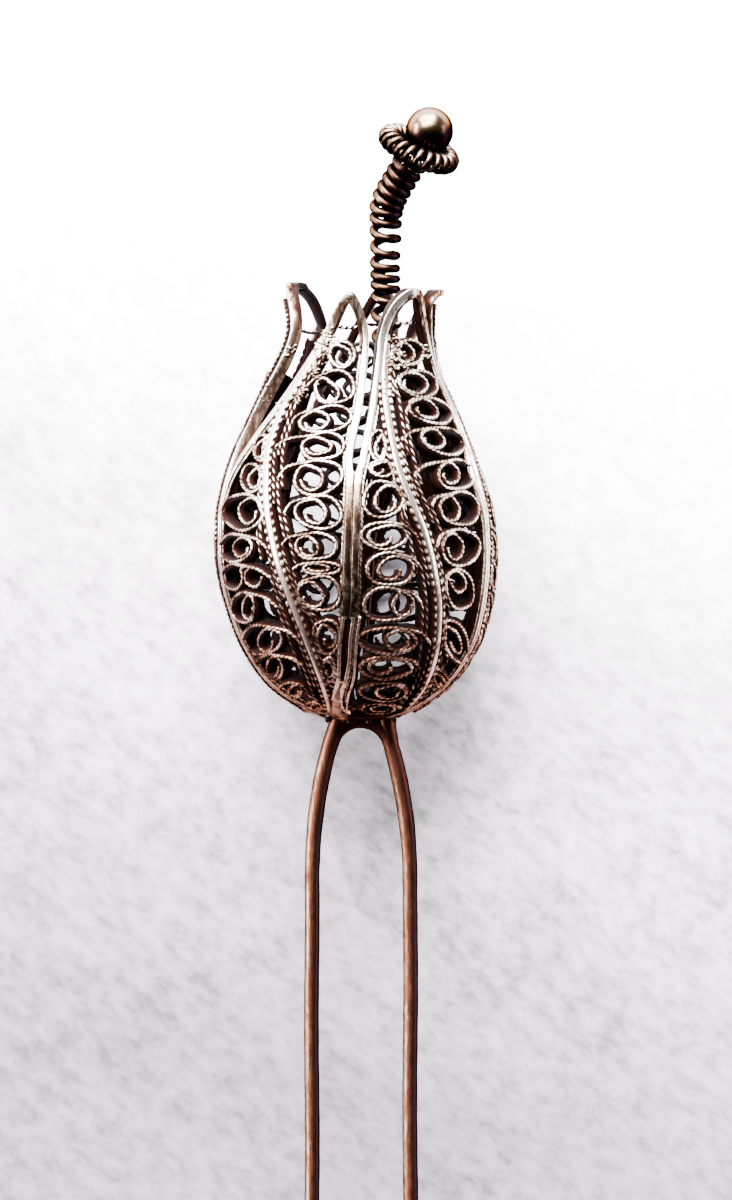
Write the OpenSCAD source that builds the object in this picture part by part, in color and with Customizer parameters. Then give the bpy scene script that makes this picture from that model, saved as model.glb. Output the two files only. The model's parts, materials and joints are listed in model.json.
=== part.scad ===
// Hairpin with an openwork tulip bud and a ball on a trembling spring.
// Millimetres. The pin is drawn along Z with its front towards -Y,
// and is then laid on its back petal and its two tips.

/* [Pin] */
// Diameter of the pin's wire
pin_wire_d = 1.33; // [1:0.01:1.8]
// Distance between the centres of the two prongs
prong_spacing = 8.3; // [6:0.1:10]
// Length from the top of the bend to the tips
pin_length = 80; // [60:1:110]
// Radius of the long shoulder that brings each prong inwards
shoulder_radius = 42; // [36:1:60]
// Angle that each shoulder turns through
shoulder_turn = 16.2; // [10:0.1:18]
// Height of the wire's centre at the top of the bend
bend_height = 0; // [-0.5:0.1:0.2]

/* [Foot] */
// Radius of the round foot that the bud is soldered to
foot_radius = 2.7; // [2:0.1:2.8]
// Height of the foot's top face
foot_top = 1.2; // [0.8:0.1:1.4]
// Diameter of the two lumps of solder between the pin and the foot
solder_d = 1.5; // [1.4:0.05:1.7]
// Distance between the centres of the two lumps
solder_spacing = 4.4; // [4:0.1:4.6]

/* [Petals] */
// Depth of a petal's strips, measured through the wall
strip_depth = 1; // [0.7:0.05:1.2]
// Width of the strips along a petal's edges
edge_strip_w = 0.6; // [0.4:0.05:0.8]
// Width of the rib
rib_w = 0.8; // [0.5:0.05:1]
// How far the openwork lies below the strips
panel_drop = 0.2; // [0.1:0.05:0.3]
// Width of the metal round each opening
opening_margin = 0.32; // [0.2:0.02:0.5]
// Narrowest panel that is still cut open
narrowest_opening = 1.15; // [1:0.05:2]
// Gap between two petals along their seam
seam_gap = 0.1; // [0.04:0.02:0.2]

/* [Spring] */
// Diameter of the spring's wire
spring_wire_d = 0.55; // [0.4:0.05:0.6]
// Outer diameter of the spring
spring_outer_d = 2.6; // [2:0.1:3]

/* [Collar] */
// Outer diameter of the ring of coiled wire
collar_outer_d = 7.2; // [6.8:0.1:8]
// Thickness of the coil that forms the ring
collar_coil_d = 1.85; // [1.6:0.05:1.9]
// Diameter of the wire in the ring
collar_wire_d = 0.45; // [0.35:0.05:0.5]
// Number of turns round the ring
collar_turns = 23; // [18:1:26]

/* [Ball] */
// Diameter of the ball
ball_d = 4; // [3:0.1:4.2]
// Height of the ball's centre above the middle of the ring
ball_lift = 1.8; // [1.75:0.05:2]
// Distance of the ball's centre to the right of the ring's axis
ball_aside = 0.2; // [0:0.05:0.2]

/* [Hidden] */
$fn = 64;

// Columns of the bud's outline and of the petal tables
HEIGHT = 0;
RADIUS = 1;
SHIFT = 2;
PULL = 3;
LEFT = 1;
RIB = 2;
RIGHT = 3;

// Outline of the bud: height, radius, sideways shift of the centre, and how far
// a petal's edges are drawn in behind its middle
bud_outline = [
  [0.2, 3.1, 0.1, 0],
  [0.8, 4.8, 0.1, 0],
  [2.8, 7.6, 0, 0],
  [6, 9.9, 0, 0],
  [9.2, 11.1, -0.1, 0],
  [12.5, 11.75, -0.3, 0],
  [15.5, 11.8, -0.4, 0],
  [18, 11.5, -0.5, 0],
  [21.5, 10.4, -0.6, 0.05],
  [25.5, 8.8, -0.5, 0.2],
  [29.2, 7.3, -0.5, 0.35],
  [32.5, 6.6, -0.15, 0.45],
  [36.3, 6.75, 0.35, 0.45]];

// Petals: height, and the angle of the left edge, the rib and the right edge,
// seen from outside. 0 degrees is the front and 90 degrees the right side.
front_left_petal = [
  [0.3, -61, -36, -30],
  [1.7, -70, -27, -19],
  [3.3, -75, -24, -11],
  [6.7, -77, -26, -7],
  [10, -77, -30, -3.5],
  [15, -75, -36, -1.5],
  [20, -75, -42, -1],
  [23.3, -64, -46, 0.7],
  [26.7, -50, -43, 5],
  [30, -36, -30, 8.5],
  [32.5, -26, -20, 7],
  [34.2, -20, -15, 1],
  [34.9, -17, -12, -3],
  [35.5, -13, -10, -7]];
front_right_petal = [
  [0.3, -30, 52, 58],
  [1.7, -19, 47, 65],
  [3.3, -11, 44, 69],
  [6.7, -7, 39, 69],
  [10, -3.5, 36, 68],
  [15, -1.5, 30, 69],
  [20, 1.4, 22, 70.5],
  [23.3, 4.6, 19.5, 76],
  [26.7, 10, 19, 79.5],
  [30, 16, 23, 77],
  [32.5, 18, 25, 67.5],
  [34.2, 22.5, 29, 58],
  [35.2, 28, 34, 53],
  [35.9, 35, 39, 46]];
right_petal = [
  [0.3, 58, 122, 128],
  [1.7, 65, 120, 136],
  [3.3, 69, 118, 141],
  [6.7, 69, 114, 143],
  [10, 68, 109, 143],
  [15, 69, 103, 142],
  [20, 73, 95, 142],
  [23.3, 80, 92, 143],
  [26.7, 84, 91, 144],
  [30, 84, 90, 138],
  [32.5, 76, 83, 130],
  [34.2, 69, 76, 121],
  [35.2, 70, 77, 112],
  [35.9, 78, 84, 101]];
back_petal = [
  [0.3, 128, 192, 198],
  [1.7, 136, 190, 206],
  [3.3, 141, 188, 212],
  [6.7, 143, 184, 214],
  [10, 143, 180, 214],
  [15, 142, 176, 214],
  [20, 143, 169, 214],
  [23.3, 146, 163, 213],
  [26.7, 148, 157, 205],
  [30, 147, 154, 194],
  [32.5, 148, 154, 186],
  [34.2, 151, 158, 179],
  [35.4, 156, 162, 174],
  [36.1, 161, 165, 170]];
left_petal = [
  [0.3, -162, -68, -61],
  [1.7, -154, -80, -70],
  [3.3, -148, -88, -75],
  [6.7, -146, -98, -77],
  [10, -146, -104, -77],
  [15, -146, -110, -75],
  [20, -145, -118, -77],
  [23.3, -145, -125, -80],
  [26.7, -147, -134, -77],
  [30, -149, -141, -66],
  [32.5, -149, -141, -64],
  [34.2, -141, -133, -71],
  [35.4, -132, -125, -81],
  [36.2, -121, -115, -92]];

// Heights at which the rows of openings meet, up to just below the tip
row_heights = [0.3, 1.6, 3.9, 6.6, 9.3, 12, 14.7, 17.4, 20.1, 22.8, 25.5, 28.2, 30.8, 33.2];
tip_bar = 0.7;

// Middle line of the spring: turn number, place, and how far the coil is open.
// Its lower end is the straight stem, and each turn climbs mostly on the left.
TURN = 0;
COIL = 4;
spring_line = [
  [0, 0.2, 0, 1.3, 0],
  [0.5, 0.9, 0, 8.4, 0],
  [1, 1.5, -0.1, 15.5, 0],
  [1.5, 2, -0.2, 22.4, 0.05],
  [2, 2.2, -0.3, 23.9, 0.8],
  [3, 2.3, -0.35, 25.1, 1],
  [12, 2.1, -0.9, 34.6, 1],
  [15, 2.05, -1.1, 37.6, 1],
  [16, 2.05, -1.3, 38.7, 1],
  [17, 2.1, -1.6, 40.1, 1],
  [18, 2.1, -1.9, 41.35, 1],
  [20, 2.25, -2.35, 43, 1],
  [23, 3.3, -2.95, 45, 1],
  [26, 4.6, -3.57, 47.1, 1]];
climb_on_left = 0.6;
spring_points_per_turn = 10;
collar_points_per_turn = 9;
wire_sides = 5;

// Middle of the ring, and the way that the ring and the ball face
collar_centre = [4.85, -3.75, 47.5];
collar_lean_right = 24;
collar_lean_front = 17;
collar_axis = unit([sin(collar_lean_right), -tan(collar_lean_front), cos(collar_lean_right)]);
ball_centre = collar_centre + ball_lift * collar_axis
  + ball_aside * unit([1, 0, 0] - collar_axis[0] * collar_axis);

// Curves through the rows of a table, smooth at each row
function unit(v) = v / norm(v);
function span_of(table, at, i = 0) =
  i >= len(table) - 2 || at < table[i + 1][0] ? i : span_of(table, at, i + 1);
function slope_at(table, column, i) =
  let (a = max(i - 1, 0), b = min(i + 1, len(table) - 1))
  (table[b][column] - table[a][column]) / (table[b][0] - table[a][0]);
function smooth(table, column, at) =
  let (
    i = span_of(table, at),
    step = table[i + 1][0] - table[i][0],
    t = max(0, min(1, (at - table[i][0]) / step)),
    from = table[i][column],
    to = table[i + 1][column],
    out = slope_at(table, column, i) * step,
    in = slope_at(table, column, i + 1) * step)
  (2 * t * t * t - 3 * t * t + 1) * from + (t * t * t - 2 * t * t + t) * out
  + (3 * t * t - 2 * t * t * t) * to + (t * t * t - t * t) * in;

// Wall of the bud. A point is given by its height, its angle and its depth below
// the outside, and the direction through the wall follows the outline's slope.
function mm_to_degrees(length, height) = length / smooth(bud_outline, RADIUS, height) * 180 / PI;
function wall_slope(height) =
  (smooth(bud_outline, RADIUS, height + 0.1) - smooth(bud_outline, RADIUS, height - 0.1)) / 0.2;
function wall_point(petal, height, angle, depth) =
  let (
    outline_r = smooth(bud_outline, RADIUS, height),
    slope = wall_slope(max(height, 0.4)),
    through = unit([1, -slope]),
    r = outline_r - depth * through[0],
    z = height - depth * through[1],
    left = smooth(petal, LEFT, height),
    right = smooth(petal, RIGHT, height),
    middle = (left + right) / 2,
    aside = (angle - middle) / (right - left) * 2,
    pull = smooth(bud_outline, PULL, height) * aside * aside)
  [r * sin(angle) - pull * sin(middle) + smooth(bud_outline, SHIFT, height),
   -r * cos(angle) + pull * cos(middle),
   z];

// Angles across a petal: edge strip, left panel, rib, right panel, edge strip
function lines_across(petal, height) =
  let (
    gap = mm_to_degrees(seam_gap / 2, height),
    left = smooth(petal, LEFT, height) + gap,
    right = smooth(petal, RIGHT, height) - gap,
    edge = min(mm_to_degrees(edge_strip_w, height), (right - left) * 0.22),
    half_rib = min(mm_to_degrees(rib_w / 2, height), (right - left) * 0.14),
    least = (right - left) * 0.07,
    rib = max(left + edge + least + half_rib,
      min(right - edge - least - half_rib, smooth(petal, RIB, height))))
  [left, left + edge, rib - half_rib, rib + half_rib, right - edge, right];

// A petal is one closed shell, cut through in rows of openings on both sides of
// its rib. Each panel of a row has ten corner points round ten opening points.
CORNERS = 10;
opening_turns = [225, 252, 288, 315, 0, 45, 72, 108, 135, 180];
function tip_of(petal) = petal[len(petal) - 1][HEIGHT];
function petal_rows(petal) = concat(row_heights, [tip_of(petal) - tip_bar, tip_of(petal)]);
function mix(a, b, t) = a + (b - a) * t;
function full_line(petal, height) =
  let (c = lines_across(petal, height))
  [c[0], c[1], mix(c[1], c[2], 1 / 3), mix(c[1], c[2], 2 / 3), c[2],
   c[3], mix(c[3], c[4], 1 / 3), mix(c[3], c[4], 2 / 3), c[4], c[5]];
// Strips and ribs stand proud of the panels between them on the outside
function line_drop(i) = i == 2 || i == 3 || i == 6 || i == 7 ? panel_drop : 0;
function panel_width(petal, height, side) =
  let (c = lines_across(petal, height))
  (side == 0 ? c[2] - c[1] : c[4] - c[3]) / mm_to_degrees(1, height);
function panel_height(rows, row) = rows[row + 1] - rows[row];
function is_open(petal, rows, row, side) =
  panel_width(petal, (rows[row] + rows[row + 1]) / 2, side) > narrowest_opening
  && panel_height(rows, row) > 3 * opening_margin
  && row < len(rows) - 2 && row > 0;
function opening_point(petal, rows, row, side, k, depth) =
  let (
    open = is_open(petal, rows, row, side),
    middle = (rows[row] + rows[row + 1]) / 2,
    across = open ? 0.5 - opening_margin / panel_width(petal, middle, side) : 0,
    along = open ? 0.5 - opening_margin / panel_height(rows, row) : 0,
    height = mix(rows[row], rows[row + 1], 0.5 + along * sin(opening_turns[k])),
    c = lines_across(petal, height),
    u = 0.5 + across * cos(opening_turns[k]),
    angle = side == 0 ? mix(c[1], c[2], u) : mix(c[3], c[4], u))
  wall_point(petal, height, angle, depth);

function layer_points(petal, rows, layer) = concat(
  [for (row = [0:len(rows) - 1]) for (i = [0:CORNERS - 1])
    wall_point(petal, rows[row], full_line(petal, rows[row])[i],
      layer == 0 ? line_drop(i) : strip_depth - line_drop(i))],
  [for (row = [0:len(rows) - 2]) for (angle = lines_across(petal, (rows[row] + rows[row + 1]) / 2))
    wall_point(petal, (rows[row] + rows[row + 1]) / 2, angle, layer * strip_depth)],
  [for (row = [0:len(rows) - 2]) for (side = [0, 1]) for (k = [0:CORNERS - 1])
    opening_point(petal, rows, row, side, k,
      layer == 0 ? panel_drop : strip_depth - panel_drop)]);

// Point numbers within one layer
function corner_no(row, i) = row * CORNERS + i;
function middle_no(rows, row, i) = len(rows) * CORNERS + row * 6 + i;
function opening_no(rows, row, side, k) =
  len(rows) * CORNERS + (len(rows) - 1) * 6 + (row * 2 + side) * CORNERS + k % CORNERS;
function panel_ring(rows, row, side) =
  let (first = side == 0 ? 1 : 5, mid = side == 0 ? 1 : 3)
  [corner_no(row, first), corner_no(row, first + 1), corner_no(row, first + 2),
   corner_no(row, first + 3), middle_no(rows, row, mid + 1),
   corner_no(row + 1, first + 3), corner_no(row + 1, first + 2),
   corner_no(row + 1, first + 1), corner_no(row + 1, first), middle_no(rows, row, mid)];
// A quad in the outer layer, and the same quad reversed in the inner layer
function both_layers(faces, layer_size) = concat(faces,
  [for (f = faces) [for (i = [len(f) - 1:-1:0]) f[i] + layer_size]]);
function strip_quads(rows, row, a, b, corner_a, corner_b) = [
  [corner_no(row, corner_a), corner_no(row, corner_b), middle_no(rows, row, b)],
  [corner_no(row, corner_a), middle_no(rows, row, b), middle_no(rows, row, a)],
  [middle_no(rows, row, a), middle_no(rows, row, b), corner_no(row + 1, corner_b)],
  [middle_no(rows, row, a), corner_no(row + 1, corner_b), corner_no(row + 1, corner_a)]];
function panel_faces(petal, rows, row, side) =
  let (ring = panel_ring(rows, row, side))
  is_open(petal, rows, row, side)
  ? [for (k = [0:CORNERS - 1]) for (half = [0, 1])
      let (next = (k + 1) % CORNERS)
      half == 0 ? [ring[k], ring[next], opening_no(rows, row, side, next)]
      : [ring[k], opening_no(rows, row, side, next), opening_no(rows, row, side, k)]]
  : [for (k = [0:CORNERS - 1])
      [ring[k], ring[(k + 1) % CORNERS], opening_no(rows, row, side, 0)]];
function wall_quad(a, b, layer_size) = [[a, a + layer_size, b + layer_size],
  [a, b + layer_size, b]];
function petal_faces(petal, rows, layer_size) =
  let (last = len(rows) - 1)
  concat(
    both_layers([for (row = [0:last - 1]) for (f = concat(
      strip_quads(rows, row, 0, 1, 0, 1),
      strip_quads(rows, row, 2, 3, 4, 5),
      strip_quads(rows, row, 4, 5, 8, 9),
      panel_faces(petal, rows, row, 0),
      panel_faces(petal, rows, row, 1))) f], layer_size),
    [for (row = [0:last - 1]) for (f = concat(
      wall_quad(middle_no(rows, row, 0), corner_no(row, 0), layer_size),
      wall_quad(corner_no(row + 1, 0), middle_no(rows, row, 0), layer_size),
      wall_quad(corner_no(row, 9), middle_no(rows, row, 5), layer_size),
      wall_quad(middle_no(rows, row, 5), corner_no(row + 1, 9), layer_size))) f],
    [for (i = [0:CORNERS - 2]) for (f = concat(
      wall_quad(corner_no(0, i), corner_no(0, i + 1), layer_size),
      wall_quad(corner_no(last, i + 1), corner_no(last, i), layer_size))) f],
    [for (row = [0:last - 1]) for (side = [0, 1]) if (is_open(petal, rows, row, side))
      for (k = [0:CORNERS - 1]) for (f = wall_quad(opening_no(rows, row, side, k + 1),
        opening_no(rows, row, side, k), layer_size)) f]);
function petal_points(petal) =
  let (rows = petal_rows(petal))
  concat(layer_points(petal, rows, 0), layer_points(petal, rows, 1));

module petal(petal) {
  rows = petal_rows(petal);
  points = petal_points(petal);
  color("silver") polyhedron(points, petal_faces(petal, rows, len(points) / 2), convexity = 8);
}

// Coiled wire: rings of points swept along a line that winds round a middle line
function wire_ring(centre, outward, along, wire_r) =
  let (side = unit(cross(along, outward)))
  [for (k = [0:wire_sides - 1])
    centre + wire_r * (cos(360 * k / wire_sides) * outward + sin(360 * k / wire_sides) * side)];
function sweep_faces(rings, closed) = concat(
  [for (i = [0:rings - (closed ? 1 : 2)]) for (k = [0:wire_sides - 1]) for (half = [0, 1])
    let (
      a = i * wire_sides + k,
      b = i * wire_sides + (k + 1) % wire_sides,
      c = ((i + 1) % rings) * wire_sides + (k + 1) % wire_sides,
      d = ((i + 1) % rings) * wire_sides + k)
    half == 0 ? [a, c, b] : [a, d, c]],
  closed ? [] : [[for (k = [0:wire_sides - 1]) k],
    [for (k = [wire_sides - 1:-1:0]) (rings - 1) * wire_sides + k]]);

// Spring
spring_coil_r = (spring_outer_d - spring_wire_d) / 2;
function spring_middle(turn) = [for (column = [1, 2, 3]) smooth(spring_line, column, turn)];
function spring_ring(turn) =
  let (
    one_turn = (spring_middle(turn + 0.1) - spring_middle(turn - 0.1)) / 0.2,
    coil = max(0, min(1, smooth(spring_line, COIL, turn))),
    rise = unit(one_turn),
    right = unit([1, 0, 0] - rise[0] * rise),
    back = cross(rise, right),
    turned = 360 * turn,
    outward = cos(turned) * right - sin(turned) * back,
    round = -sin(turned) * right - cos(turned) * back,
    late = coil * climb_on_left,
    middle = spring_middle(turn) - late * sin(turned) / (2 * PI) * one_turn,
    along = 2 * PI * coil * spring_coil_r * round + (1 - late * cos(turned)) * one_turn)
  wire_ring(middle + coil * spring_coil_r * outward, outward, unit(along), spring_wire_d / 2);

// Ring of coiled wire
collar_middle_r = (collar_outer_d - collar_coil_d) / 2;
collar_winding_r = (collar_coil_d - collar_wire_d) / 2;
collar_right = unit([1, 0, 0] - collar_axis[0] * collar_axis);
collar_back = cross(collar_axis, collar_right);
function collar_ring(turn) =
  let (
    place = 360 * turn / collar_turns,
    radial = cos(place) * collar_right + sin(place) * collar_back,
    round = -sin(place) * collar_right + cos(place) * collar_back,
    outward = cos(360 * turn) * radial + sin(360 * turn) * collar_axis,
    winding = -sin(360 * turn) * radial + cos(360 * turn) * collar_axis,
    advance = 2 * PI * collar_middle_r / collar_turns,
    along = unit(winding * 2 * PI * collar_winding_r + round * advance))
  wire_ring(collar_centre + collar_middle_r * radial + collar_winding_r * outward,
    outward, along, collar_wire_d / 2);

// Pin: where the shoulders and the bend meet
half_spacing = prong_spacing / 2;
bend_r = (half_spacing - shoulder_radius * (1 - cos(shoulder_turn))) / cos(shoulder_turn);
bend_centre_z = bend_height - bend_r;
shoulder_z = bend_centre_z - (shoulder_radius - bend_r) * sin(shoulder_turn);
tip_centre_z = bend_height - pin_length + pin_wire_d / 2;
joint_step = 0.03;
joint_overlap = 0.3;
solder_reach = bend_r - sqrt(bend_r * bend_r - solder_spacing * solder_spacing / 4);

// How the pin lies: the back petal's rib and both tips touch the surface
back_rib_points = [for (height = [6:0.5:24])
  wall_point(back_petal, height, smooth(back_petal, RIB, height), 0)];
function height_lying(p, tilt) = p[2] * sin(tilt) - p[1] * cos(tilt);
function length_lying(p, tilt) = p[1] * sin(tilt) + p[2] * cos(tilt);
function petal_above_tips(tilt) =
  min([for (p = back_rib_points) height_lying(p, tilt)])
  - (tip_centre_z * sin(tilt) - pin_wire_d / 2);
function lying_tilt(low = 3, high = 12, steps = 40) =
  let (middle = (low + high) / 2)
  steps == 0 ? middle
  : petal_above_tips(middle) < 0 ? lying_tilt(middle, high, steps - 1)
  : lying_tilt(low, middle, steps - 1);
tilt = lying_tilt();
lift = pin_wire_d / 2 - tip_centre_z * sin(tilt);
leftmost = min([for (p = petal_points(left_petal)) p[0]]);
rightmost = max([for (p = petal_points(right_petal)) p[0]]);
far_end = length_lying(ball_centre, tilt) + ball_d / 2;
near_end = tip_centre_z * cos(tilt) - pin_wire_d / 2;

module lying() {
  translate([-(leftmost + rightmost) / 2, -(far_end + near_end) / 2, lift])
    rotate([tilt - 90, 0, 0]) children();
}

// The shoulders run a little way inside the prongs and the bend, which are a hair
// thicker, so that the lengths of wire join without a step that shows
module wire_arc(radius, from, to, wire_d) {
  rotate([90, 0, 0]) rotate([0, 0, from]) rotate_extrude(angle = to - from)
    translate([radius, 0]) circle(d = wire_d);
}

module prong() {
  translate([half_spacing, 0, tip_centre_z]) {
    cylinder(d = pin_wire_d, h = shoulder_z - tip_centre_z);
    sphere(d = pin_wire_d);
  }
  translate([half_spacing - shoulder_radius, 0, shoulder_z])
    wire_arc(shoulder_radius, -joint_overlap, shoulder_turn + joint_overlap, pin_wire_d - joint_step);
}

module pin_fork() {
  color("peru") lying() {
    prong();
    mirror([1, 0, 0]) prong();
    translate([0, 0, bend_centre_z])
      wire_arc(bend_r, shoulder_turn, 180 - shoulder_turn, pin_wire_d + joint_step);
    cylinder(r = foot_radius, h = foot_top);
    for (side = [-1, 1]) translate([side * solder_spacing / 2, 0, -solder_reach])
      cylinder(d = solder_d, h = solder_reach + foot_top / 2);
  }
}

module petal_left() lying() petal(left_petal);
module petal_front_left() lying() petal(front_left_petal);
module petal_front_right() lying() petal(front_right_petal);
module petal_right() lying() petal(right_petal);
module petal_back() lying() petal(back_petal);

module stem_spring() {
  last_turn = spring_line[len(spring_line) - 1][TURN];
  rings = last_turn * spring_points_per_turn;
  points = [for (i = [0:rings]) for (p = spring_ring(i / spring_points_per_turn)) p];
  color("darkgoldenrod") lying() polyhedron(points, sweep_faces(rings + 1, false), convexity = 8);
}

module coil_collar() {
  rings = collar_turns * collar_points_per_turn;
  points = [for (i = [0:rings - 1]) for (p = collar_ring(i / collar_points_per_turn)) p];
  color("darkgoldenrod") lying() polyhedron(points, sweep_faces(rings, true), convexity = 8);
}

module ball() color("goldenrod") lying() translate(ball_centre) sphere(d = ball_d);

pin_fork();
petal_left();
petal_front_left();
petal_front_right();
petal_right();
petal_back();
stem_spring();
coil_collar();
ball();
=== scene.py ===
"""Looks of a filigree tulip hairpin: twisted-wire scrolls between flat strips, a coiled
spring with its collar and ball, and a two-pronged wire pin, laid on a pale surface."""
import json
import math
from collections import namedtuple

import bpy
import numpy as np
from mathutils import Matrix, Vector


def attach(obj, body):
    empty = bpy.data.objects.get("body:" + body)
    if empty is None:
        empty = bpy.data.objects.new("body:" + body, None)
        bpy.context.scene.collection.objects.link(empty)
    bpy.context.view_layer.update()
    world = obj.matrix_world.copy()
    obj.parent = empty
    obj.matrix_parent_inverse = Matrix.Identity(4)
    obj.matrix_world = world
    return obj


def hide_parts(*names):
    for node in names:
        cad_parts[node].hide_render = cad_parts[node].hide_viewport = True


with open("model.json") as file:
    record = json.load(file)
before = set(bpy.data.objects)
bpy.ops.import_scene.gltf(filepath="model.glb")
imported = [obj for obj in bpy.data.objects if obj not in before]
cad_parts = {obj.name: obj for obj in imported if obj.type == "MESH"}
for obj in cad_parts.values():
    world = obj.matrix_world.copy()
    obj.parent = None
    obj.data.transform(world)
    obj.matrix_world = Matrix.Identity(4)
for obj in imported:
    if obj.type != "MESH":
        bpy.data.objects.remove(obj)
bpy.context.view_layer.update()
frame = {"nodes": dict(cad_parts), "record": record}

MM = 0.001
DEG = math.pi / 180
ROUND = 2 * math.pi


def add_object(name, data):
    made = bpy.data.objects.new(name, data)
    bpy.context.scene.collection.objects.link(made)
    return made


FRONT_LEFT = "petal_front_left"
FRONT_RIGHT = "petal_front_right"

# The pin's own frame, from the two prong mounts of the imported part. In it the bud
# stands on z = 0, the front faces -y and lengths are in millimetres.
BEND_TO_MOUNT = 46.458
mounts = {mount["name"]: mount for mount in frame["record"]["mounts"]}
prong_middle = (Vector(mounts["prong_left"]["pos_m"]) + Vector(mounts["prong_right"]["pos_m"])) / 2
pin_up = -Vector(mounts["prong_left"]["axis"]).normalized()
pin_right = Vector((1, 0, 0))
pin_front = pin_right.cross(pin_up)
pin_origin = prong_middle + pin_up * BEND_TO_MOUNT * MM
PIN_TO_ROW = np.array([list(pin_right), list(-pin_front), list(pin_up)])


def to_row(points):
    """Points of the pin's frame in millimetres, as metres in the row's frame."""
    return np.asarray(points) @ PIN_TO_ROW * MM + np.array(pin_origin)


# Camera: square on to the pin, framed as in the photograph of 732 by 1200 pixels
FRAME_W = 732
FRAME_H = 1200
PX_PER_MM = 12
AXIS_PX = 360.5
BASE_PX = 720
CAMERA_AWAY = 1600
SENSOR = 24
CLIP = (0.01, 20)

aim_x = (FRAME_W / 2 - AXIS_PX) / PX_PER_MM
aim_z = (BASE_PX - FRAME_H / 2) / PX_PER_MM
camera_data = bpy.data.cameras.new("camera")
camera = add_object("camera", camera_data)
camera_data.sensor_fit = "VERTICAL"
camera_data.sensor_height = SENSOR
camera_data.lens = SENSOR * CAMERA_AWAY / (FRAME_H / PX_PER_MM)
camera_data.clip_start, camera_data.clip_end = CLIP
camera_place = Vector(to_row([(aim_x, -CAMERA_AWAY, aim_z)])[0])
camera.matrix_world = Matrix.Translation(camera_place) @ Matrix(
    (pin_right, pin_up, pin_front)).transposed().to_4x4()
bpy.context.scene.camera = camera

# Outline of the bud: height, radius, sideways shift, and how far a petal's edges
# are drawn in behind its middle
BUD = np.array([
    (0.2, 3.1, 0.1, 0),
    (0.8, 4.8, 0.1, 0),
    (2.8, 7.6, 0, 0),
    (6, 9.9, 0, 0),
    (9.2, 11.1, -0.1, 0),
    (12.5, 11.75, -0.3, 0),
    (15.5, 11.8, -0.4, 0),
    (18, 11.5, -0.5, 0),
    (21.5, 10.4, -0.6, 0.05),
    (25.5, 8.8, -0.5, 0.2),
    (29.2, 7.3, -0.5, 0.35),
    (32.5, 6.6, -0.15, 0.45),
    (36.3, 6.75, 0.35, 0.45)])
RADIUS, SHIFT, PULL = 1, 2, 3

# Petals: height, and the angles of the left edge, the rib and the right edge
LEFT, RIB, RIGHT = 1, 2, 3
PETALS = {
    FRONT_LEFT: [
        (0.3, -61, -36, -30), (1.7, -70, -27, -19), (3.3, -75, -24, -11), (6.7, -77, -26, -7),
        (10, -77, -30, -3.5), (15, -75, -36, -1.5), (20, -75, -42, -1), (23.3, -64, -46, 0.7),
        (26.7, -50, -43, 5), (30, -36, -30, 8.5), (32.5, -26, -20, 7), (34.2, -20, -15, 1),
        (34.9, -17, -12, -3), (35.5, -13, -10, -7)],
    FRONT_RIGHT: [
        (0.3, -30, 52, 58), (1.7, -19, 47, 65), (3.3, -11, 44, 69), (6.7, -7, 39, 69),
        (10, -3.5, 36, 68), (15, -1.5, 30, 69), (20, 1.4, 22, 70.5), (23.3, 4.6, 19.5, 76),
        (26.7, 10, 19, 79.5), (30, 16, 23, 77), (32.5, 18, 25, 67.5), (34.2, 22.5, 29, 58),
        (35.2, 28, 34, 53), (35.9, 35, 39, 46)],
    "petal_right": [
        (0.3, 58, 122, 128), (1.7, 65, 120, 136), (3.3, 69, 118, 141), (6.7, 69, 114, 143),
        (10, 68, 109, 143), (15, 69, 103, 142), (20, 73, 95, 142), (23.3, 80, 92, 143),
        (26.7, 84, 91, 144), (30, 84, 90, 138), (32.5, 76, 83, 130), (34.2, 69, 76, 121),
        (35.2, 70, 77, 112), (35.9, 78, 84, 101)],
    "petal_back": [
        (0.3, 128, 192, 198), (1.7, 136, 190, 206), (3.3, 141, 188, 212), (6.7, 143, 184, 214),
        (10, 143, 180, 214), (15, 142, 176, 214), (20, 143, 169, 214), (23.3, 146, 163, 213),
        (26.7, 148, 157, 205), (30, 147, 154, 194), (32.5, 148, 154, 186), (34.2, 151, 158, 179),
        (35.4, 156, 162, 174), (36.1, 161, 165, 170)],
    "petal_left": [
        (0.3, -162, -68, -61), (1.7, -154, -80, -70), (3.3, -148, -88, -75), (6.7, -146, -98, -77),
        (10, -146, -104, -77), (15, -146, -110, -75), (20, -145, -118, -77), (23.3, -145, -125, -80),
        (26.7, -147, -134, -77), (30, -149, -141, -66), (32.5, -149, -141, -64),
        (34.2, -141, -133, -71), (35.4, -132, -125, -81), (36.2, -121, -115, -92)],
}
PETALS = {name: np.array(rows, float) for name, rows in PETALS.items()}
FRONT_PETALS = (FRONT_LEFT, FRONT_RIGHT)
BEADED_PETALS = ("petal_left", "petal_right")
# Where the wall's slope is taken, and how far aside its pull reaches
SLOPE_FROM = 0.4
SLOPE_STEP = 0.1
PULL_REACH = 1.2

# Flat strips on edge, in millimetres
EDGE_W = 0.38
EDGE_WIDE = 0.58
TIP_WIDER = (0.12, 30, 33.5)
SEAM_TIP_WIDER = (0.22, 27, 31)
EDGE_DEPTH = 1.0
SEAM_GAP = 0.1
RIB_W = 0.52
RIB_NARROWED = 0.62
RIB_PROUD = 0.06
RIB_TAPER = 2.2
RIB_BELOW_TIP = 3.1
RIB_ROOM = 0.02
STRIP_BEVEL = 0.07
BEVEL_SHARE = 0.3
STRIP_STEP = 0.15
# Strips are painted darker down their flanks below their top at this rate: tarnish and painted shade
STRIP_FADE = 0.5
TAPER_DROP = 0.3
TAPER_LEAST = 0.02
LOWEST = 0.22
# Seam between the front petals: thin strips low down, then a broad bar
BAR_LOW = 8.6
BAR_W = 0.62
BAR_PROUD = 0.08
BAR_LAP = 0.03
THIN_W = 0.26
THIN_INSET = 0.42
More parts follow.
